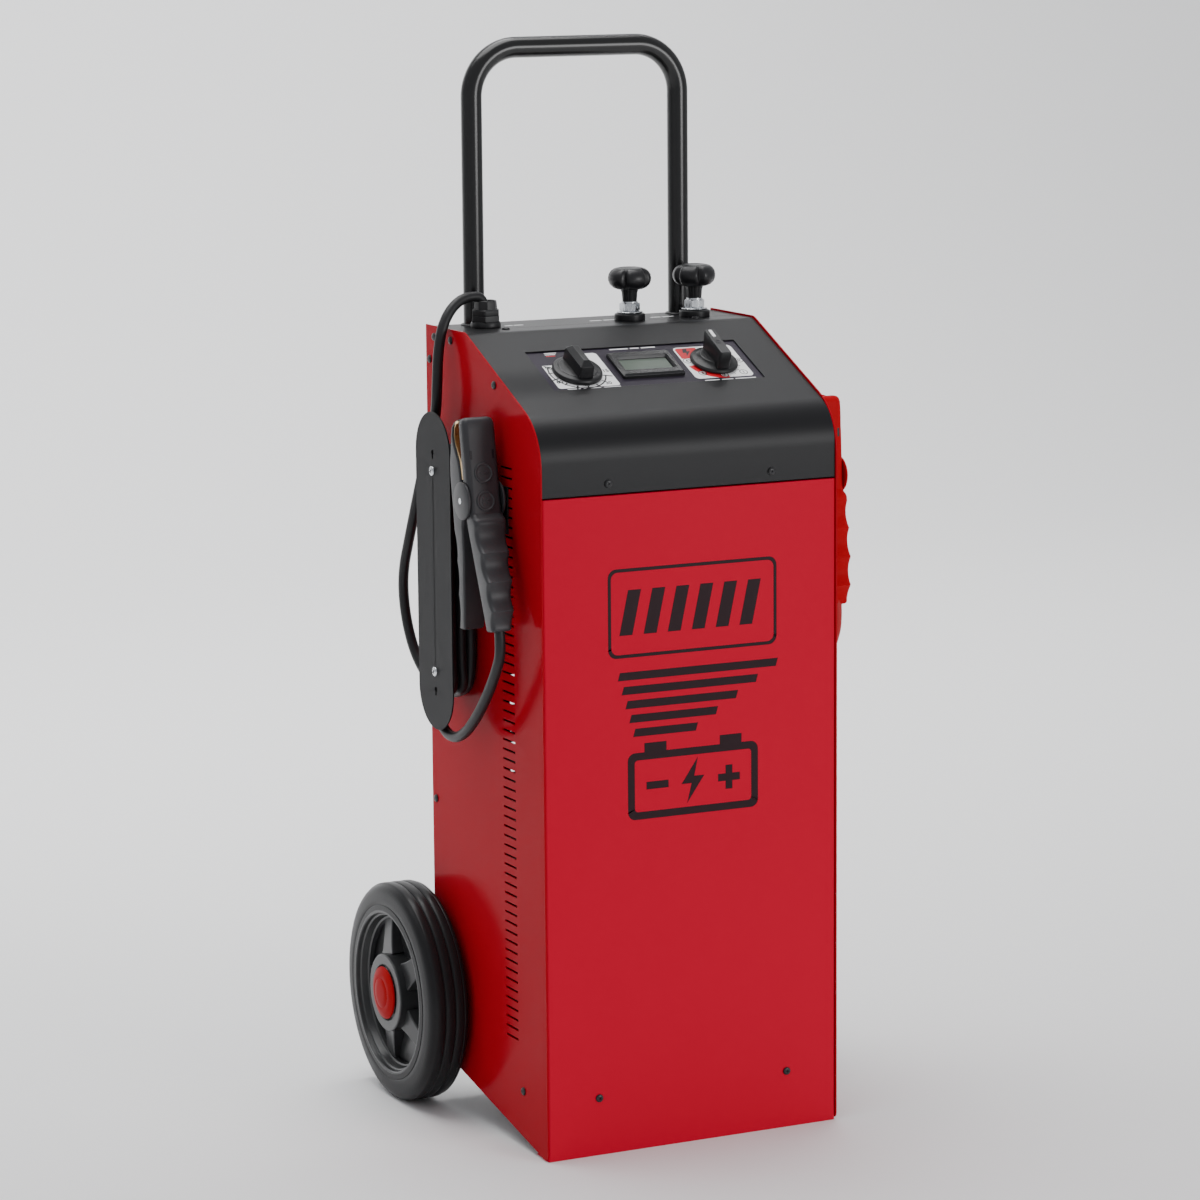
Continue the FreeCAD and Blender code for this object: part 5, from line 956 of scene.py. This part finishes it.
def clamp(colour, sign, pivot_y, tilt, finish):
    """Clamp hung beside a panel: two moulded halves, a toothed bar and a bent jaw."""
    centre = (HALF + 25) * sign
    at = shift(centre, FRONT + pivot_y, CLAMP_Z) @ Matrix.Rotation(-radians(tilt), 4, "X")
    across = placed((0, 0, 0), (0, 1, 0), (0, 0, 1), (1, 0, 0))
    hub = moved(lathe([(0, -9.2), (7.2, -9.2), (7.2, 9.2), (0, 9.2)], 36), across)
    front_shape = [loft(clamp_rings(False)), hub]
    for z in (25, -2):
        boss_at = placed((0, -14.7, z), (1, 0, 0), (0, 0, 1), (0, -1, 0))
        boss = lathe([(9.8, -1.5), (9.8, 0.9), (9.3, 1.4), (8.0, 1.4), (7.4, 0.7), (0, 0.7)], 48)
        front_shape.append(moved(boss, boss_at))
        bars = [(-5, 5, -0.8, 0.8)] if z > 0 else [
            (x - 1.8, x + 1.8, y - 1.3, y + 1.3) for x in (-2.4, 2.4) for y in (-2, 2)]
        front_shape += [moved(cuboid(bar[:2], bar[2:], (0.5, 1.3)), boss_at) for bar in bars]
    piece(colour + "_clamp_front", joined(*front_shape), finish, sharp=38, bevel=0.4, at=at,
          replaces=colour + "_clamp_front_half")
    # Thin dark blocks on the front half's face: painted shade of its two slots.
    slot_shade_marks = joined(*[cuboid((x - 1.1, x + 1.1), (-14.82, -14.5), (38.5, 47)) for x in (-11.6, 11.6)])
    piece(colour + "_clamp_slot_shade", slot_shade_marks, PRINT_BLACK, at=at)
    ear = [(0, 17.3), (18.0, 17.3), (18.4, 17.8), (18.2, 19.2), (17.0, 20.0), (6, 20.25), (0, 20.3)]
    rear_shape = [loft(clamp_rings(True)), moved(lathe(ear, 64), across),
                  moved(lathe(ear, 64), placed((0, 0, 0), (0, -1, 0), (0, 0, 1), (-1, 0, 0)))]
    piece(colour + "_clamp_rear", joined(*rear_shape), finish, body=colour + "_clamp_jaw",
          sharp=38, bevel=0.4, at=at, replaces=colour + "_clamp_rear_half")
    teeth = [(-0.3 - 1.7 * (index % 2), 20.3 + 56.5 * index / 26) for index in range(27)]
    bar = [(-6.3, 20.3)] + teeth + [(-6.3, 76.8)]
    for name, profile, body in (("front", bar, "cabinet"),
                                ("rear", JAW_LINE, colour + "_clamp_jaw")):
        wide = 15.2 if name == "rear" else 11.7
        shape = loft([[(x, y, z) for y, z in profile] for x in (-wide, wide)])
        cad = "clamp_front_jaws" if name == "front" else colour + "_clamp_rear_jaw"
        piece("%s_jaw_%s" % (colour, name), shape, COPPER, body=body, sharp=30, bevel=0.25,
              at=at, replaces=cad)


clamp("black", -1, 85, 10, CLAMP_BLACK)
clamp("red", 1, 76, 3, CLAMP_RED)


# ---- leads
def out_from_side(points, sign):
    """Points given out from a side panel and back from its front edge, as plain ones."""
    return [((HALF + out) * sign, FRONT + y, z) for out, y, z in points]


def turns(lanes):
    """Lead round the two posts, one lane after another, shifting lane under the lower post."""
    radius = 20.0 / cos(pi / 8)
    high, low, middle = WRAP_Z + WRAP_REACH, WRAP_Z - WRAP_REACH, WRAP_Y
    points = []
    for index, lane in enumerate(lanes):
        following = lanes[min(index + 1, len(lanes) - 1)]
        front_y, rear_y = middle - 20, middle + 20
        points += [(lane, front_y, z) for z in (470, 500, 540, 580, 620, 650)]
        points += [(lane, middle - radius * cos(a), high + radius * sin(a))
                   for a in (pi / 8, 3 * pi / 8, 5 * pi / 8, 7 * pi / 8)]
        points += [(lane, rear_y, z) for z in (650, 620, 580, 540, 500, 470)]
        if index + 1 < len(lanes):
            for k in range(4):
                a = pi / 8 + k * pi / 4
                share = (k + 1) / 5
                points.append((lane + (following - lane) * share,
                               middle + radius * cos(a), low - radius * sin(a)))
    return points


BLACK_OVER = (
    (-22, 218.7, 822.5), (-5, 213.5, 813), (7.5, 208.5, 795), (13.5, 205, 770),
    (16, 202.5, 741), (16.5, 205, 711), (15.5, 222, 683), (14.5, 243, 652),
    (15.5, 259, 617), (17.5, 273, 580), (19.5, 288, 541), (18.5, 287, 502), (15, 275, 465),
    (11, 253, 441), (8.5, 227, 432), (8.5, 202, 431), (8.0, 178, 436.5), (7.2, 157, 444),
)
BLACK_TAIL = (
    (28, 191.5, 446), (28.4, 189, 423), (28.2, 175, 403), (27.6, 151, 396),
    (27, 125, 404), (26.4, 98, 424), (25.6, 73, 450), (25.1, 52, 477), (25, 37.4, 503),
    (25, 46.2, 536.4),
)
RED_TAIL = (
    (28, 191.5, 446), (28.4, 189, 423), (28.2, 175, 403), (27.6, 151, 396),
    (27, 125, 404), (26.4, 99, 423), (25.6, 75, 449), (25.1, 55, 474), (25, 42.9, 499.8),
    (25, 48.4, 533.3),
)
RED_STUB = (
    (8.5, 176, 683), (8.5, 200, 687), (8.7, 222, 678), (9, 238, 659), (9.3, 245, 634),
    (9.3, 245, 609),
)


def lead(name, points, finish, nodes):
    """Lead along its given points as a quadratic spline."""
    curve = bpy.data.curves.new(name, "CURVE")
    curve.dimensions = "3D"
    curve.bevel_depth = LEAD * MM
    curve.bevel_resolution = 6
    curve.resolution_u = 8
    curve.use_fill_caps = True
    spline = curve.splines.new("NURBS")
    spline.points.add(len(points) - 1)
    for place, point in zip(spline.points, points):
        place.co = (point[0] * MM, point[1] * MM, point[2] * MM, 1)
    spline.order_u = 3
    spline.use_endpoint_u = True
    item = add(name, curve)
    curve.materials.append(finish)
    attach(item, "cabinet")
    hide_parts(*nodes)
    return item


black_route = [(-114, BACK - 43, HOOD_TOP + 6), (-114, BACK - 43, HOOD_TOP + 31)]
black_route += out_from_side(BLACK_OVER, -1)
black_route += out_from_side(turns(LANES), -1)
black_route += out_from_side(BLACK_TAIL, -1)
black_lead = lead("black_lead", black_route, RUBBER,
                  ("black_lead_tube", "black_lead_winding", "black_lead_tail"))
red_route = out_from_side(RED_TAIL, 1)[::-1]
red_route += out_from_side(turns(LANES), 1)[::-1]
red_route += out_from_side(RED_STUB, 1)
red_lead = lead("red_lead", red_route, RUBBER_RED,
                ("red_lead_tail", "red_lead_winding", "red_lead_stub"))


# ---- studio
def studio():
    """Pale floor that sweeps up into a backdrop, under soft lamps."""
    profile = [(-7.0, 0.0), (3.2, 0.0)]
    profile += [(3.2 + 2.2 * sin(a), 2.2 - 2.2 * cos(a))
                for a in (pi / 32 * k for k in range(1, 17))]
    profile.append((5.4, 8.0))
    verts = [(x, y, z) for x in (-10, 10) for y, z in profile]
    count = len(profile)
    sweep_mesh = bpy.data.meshes.new("sweep")
    sweep_mesh.from_pydata(verts, [], [(i, i + 1, count + i + 1, count + i)
                                       for i in range(count - 1)])
    for polygon in sweep_mesh.polygons:
        polygon.use_smooth = True
    sweep = add("sweep", sweep_mesh)
    sweep_mesh.materials.append(material("studio_paper", (0.88, 0.88, 0.88), 0.8, mottle=0.0,
                                         grain=30, bump=0.0, spread=0.0, specular=0.1))
    world = bpy.data.worlds.new("studio")
    world.use_nodes = True
    world.node_tree.nodes["Background"].inputs["Color"].default_value = (0.95, 0.96, 1.0, 1)
    world.node_tree.nodes["Background"].inputs["Strength"].default_value = 0.55
    bpy.context.scene.world = world
    for name, place, target, size, power in (
            ("key", (1.9, -3.8, 1.25), (0, 0, 0.55), (1.8, 1.5), 62),
            ("top", (-0.2, 0.5, 3.2), (0, 0.1, 0.7), (2.4, 1.8), 62),
            ("backdrop", (0, 1.6, 3.6), (0, 4.5, 1.6), (5.0, 1.0), 240)):
        light = bpy.data.lights.new(name, "AREA")
        light.shape = "RECTANGLE"
        light.size, light.size_y = size
        light.energy = power
        lamp = add(name, light)
        lamp.location = place
        lamp.rotation_euler = (Vector(target) - Vector(place)).to_track_quat("-Z", "Y").to_euler()


studio()
turn_a, rise_a, roll_a = radians(-25.886), radians(9.604), radians(-0.492)
back = Vector((sin(turn_a) * cos(rise_a), -cos(turn_a) * cos(rise_a),
               sin(rise_a)))
right = Vector((cos(turn_a), sin(turn_a), 0))
up = back.cross(right)
across = right * cos(roll_a) + up * sin(roll_a)
upward = up * cos(roll_a) - right * sin(roll_a)
camera_data = bpy.data.cameras.new("camera")
camera_data.lens = 126.6
camera_data.sensor_width = 36.0
camera = add("camera", camera_data)
camera.matrix_world = placed((-1.8318, -3.5874, 1.2207), across, upward, back)
bpy.context.scene.camera = camera
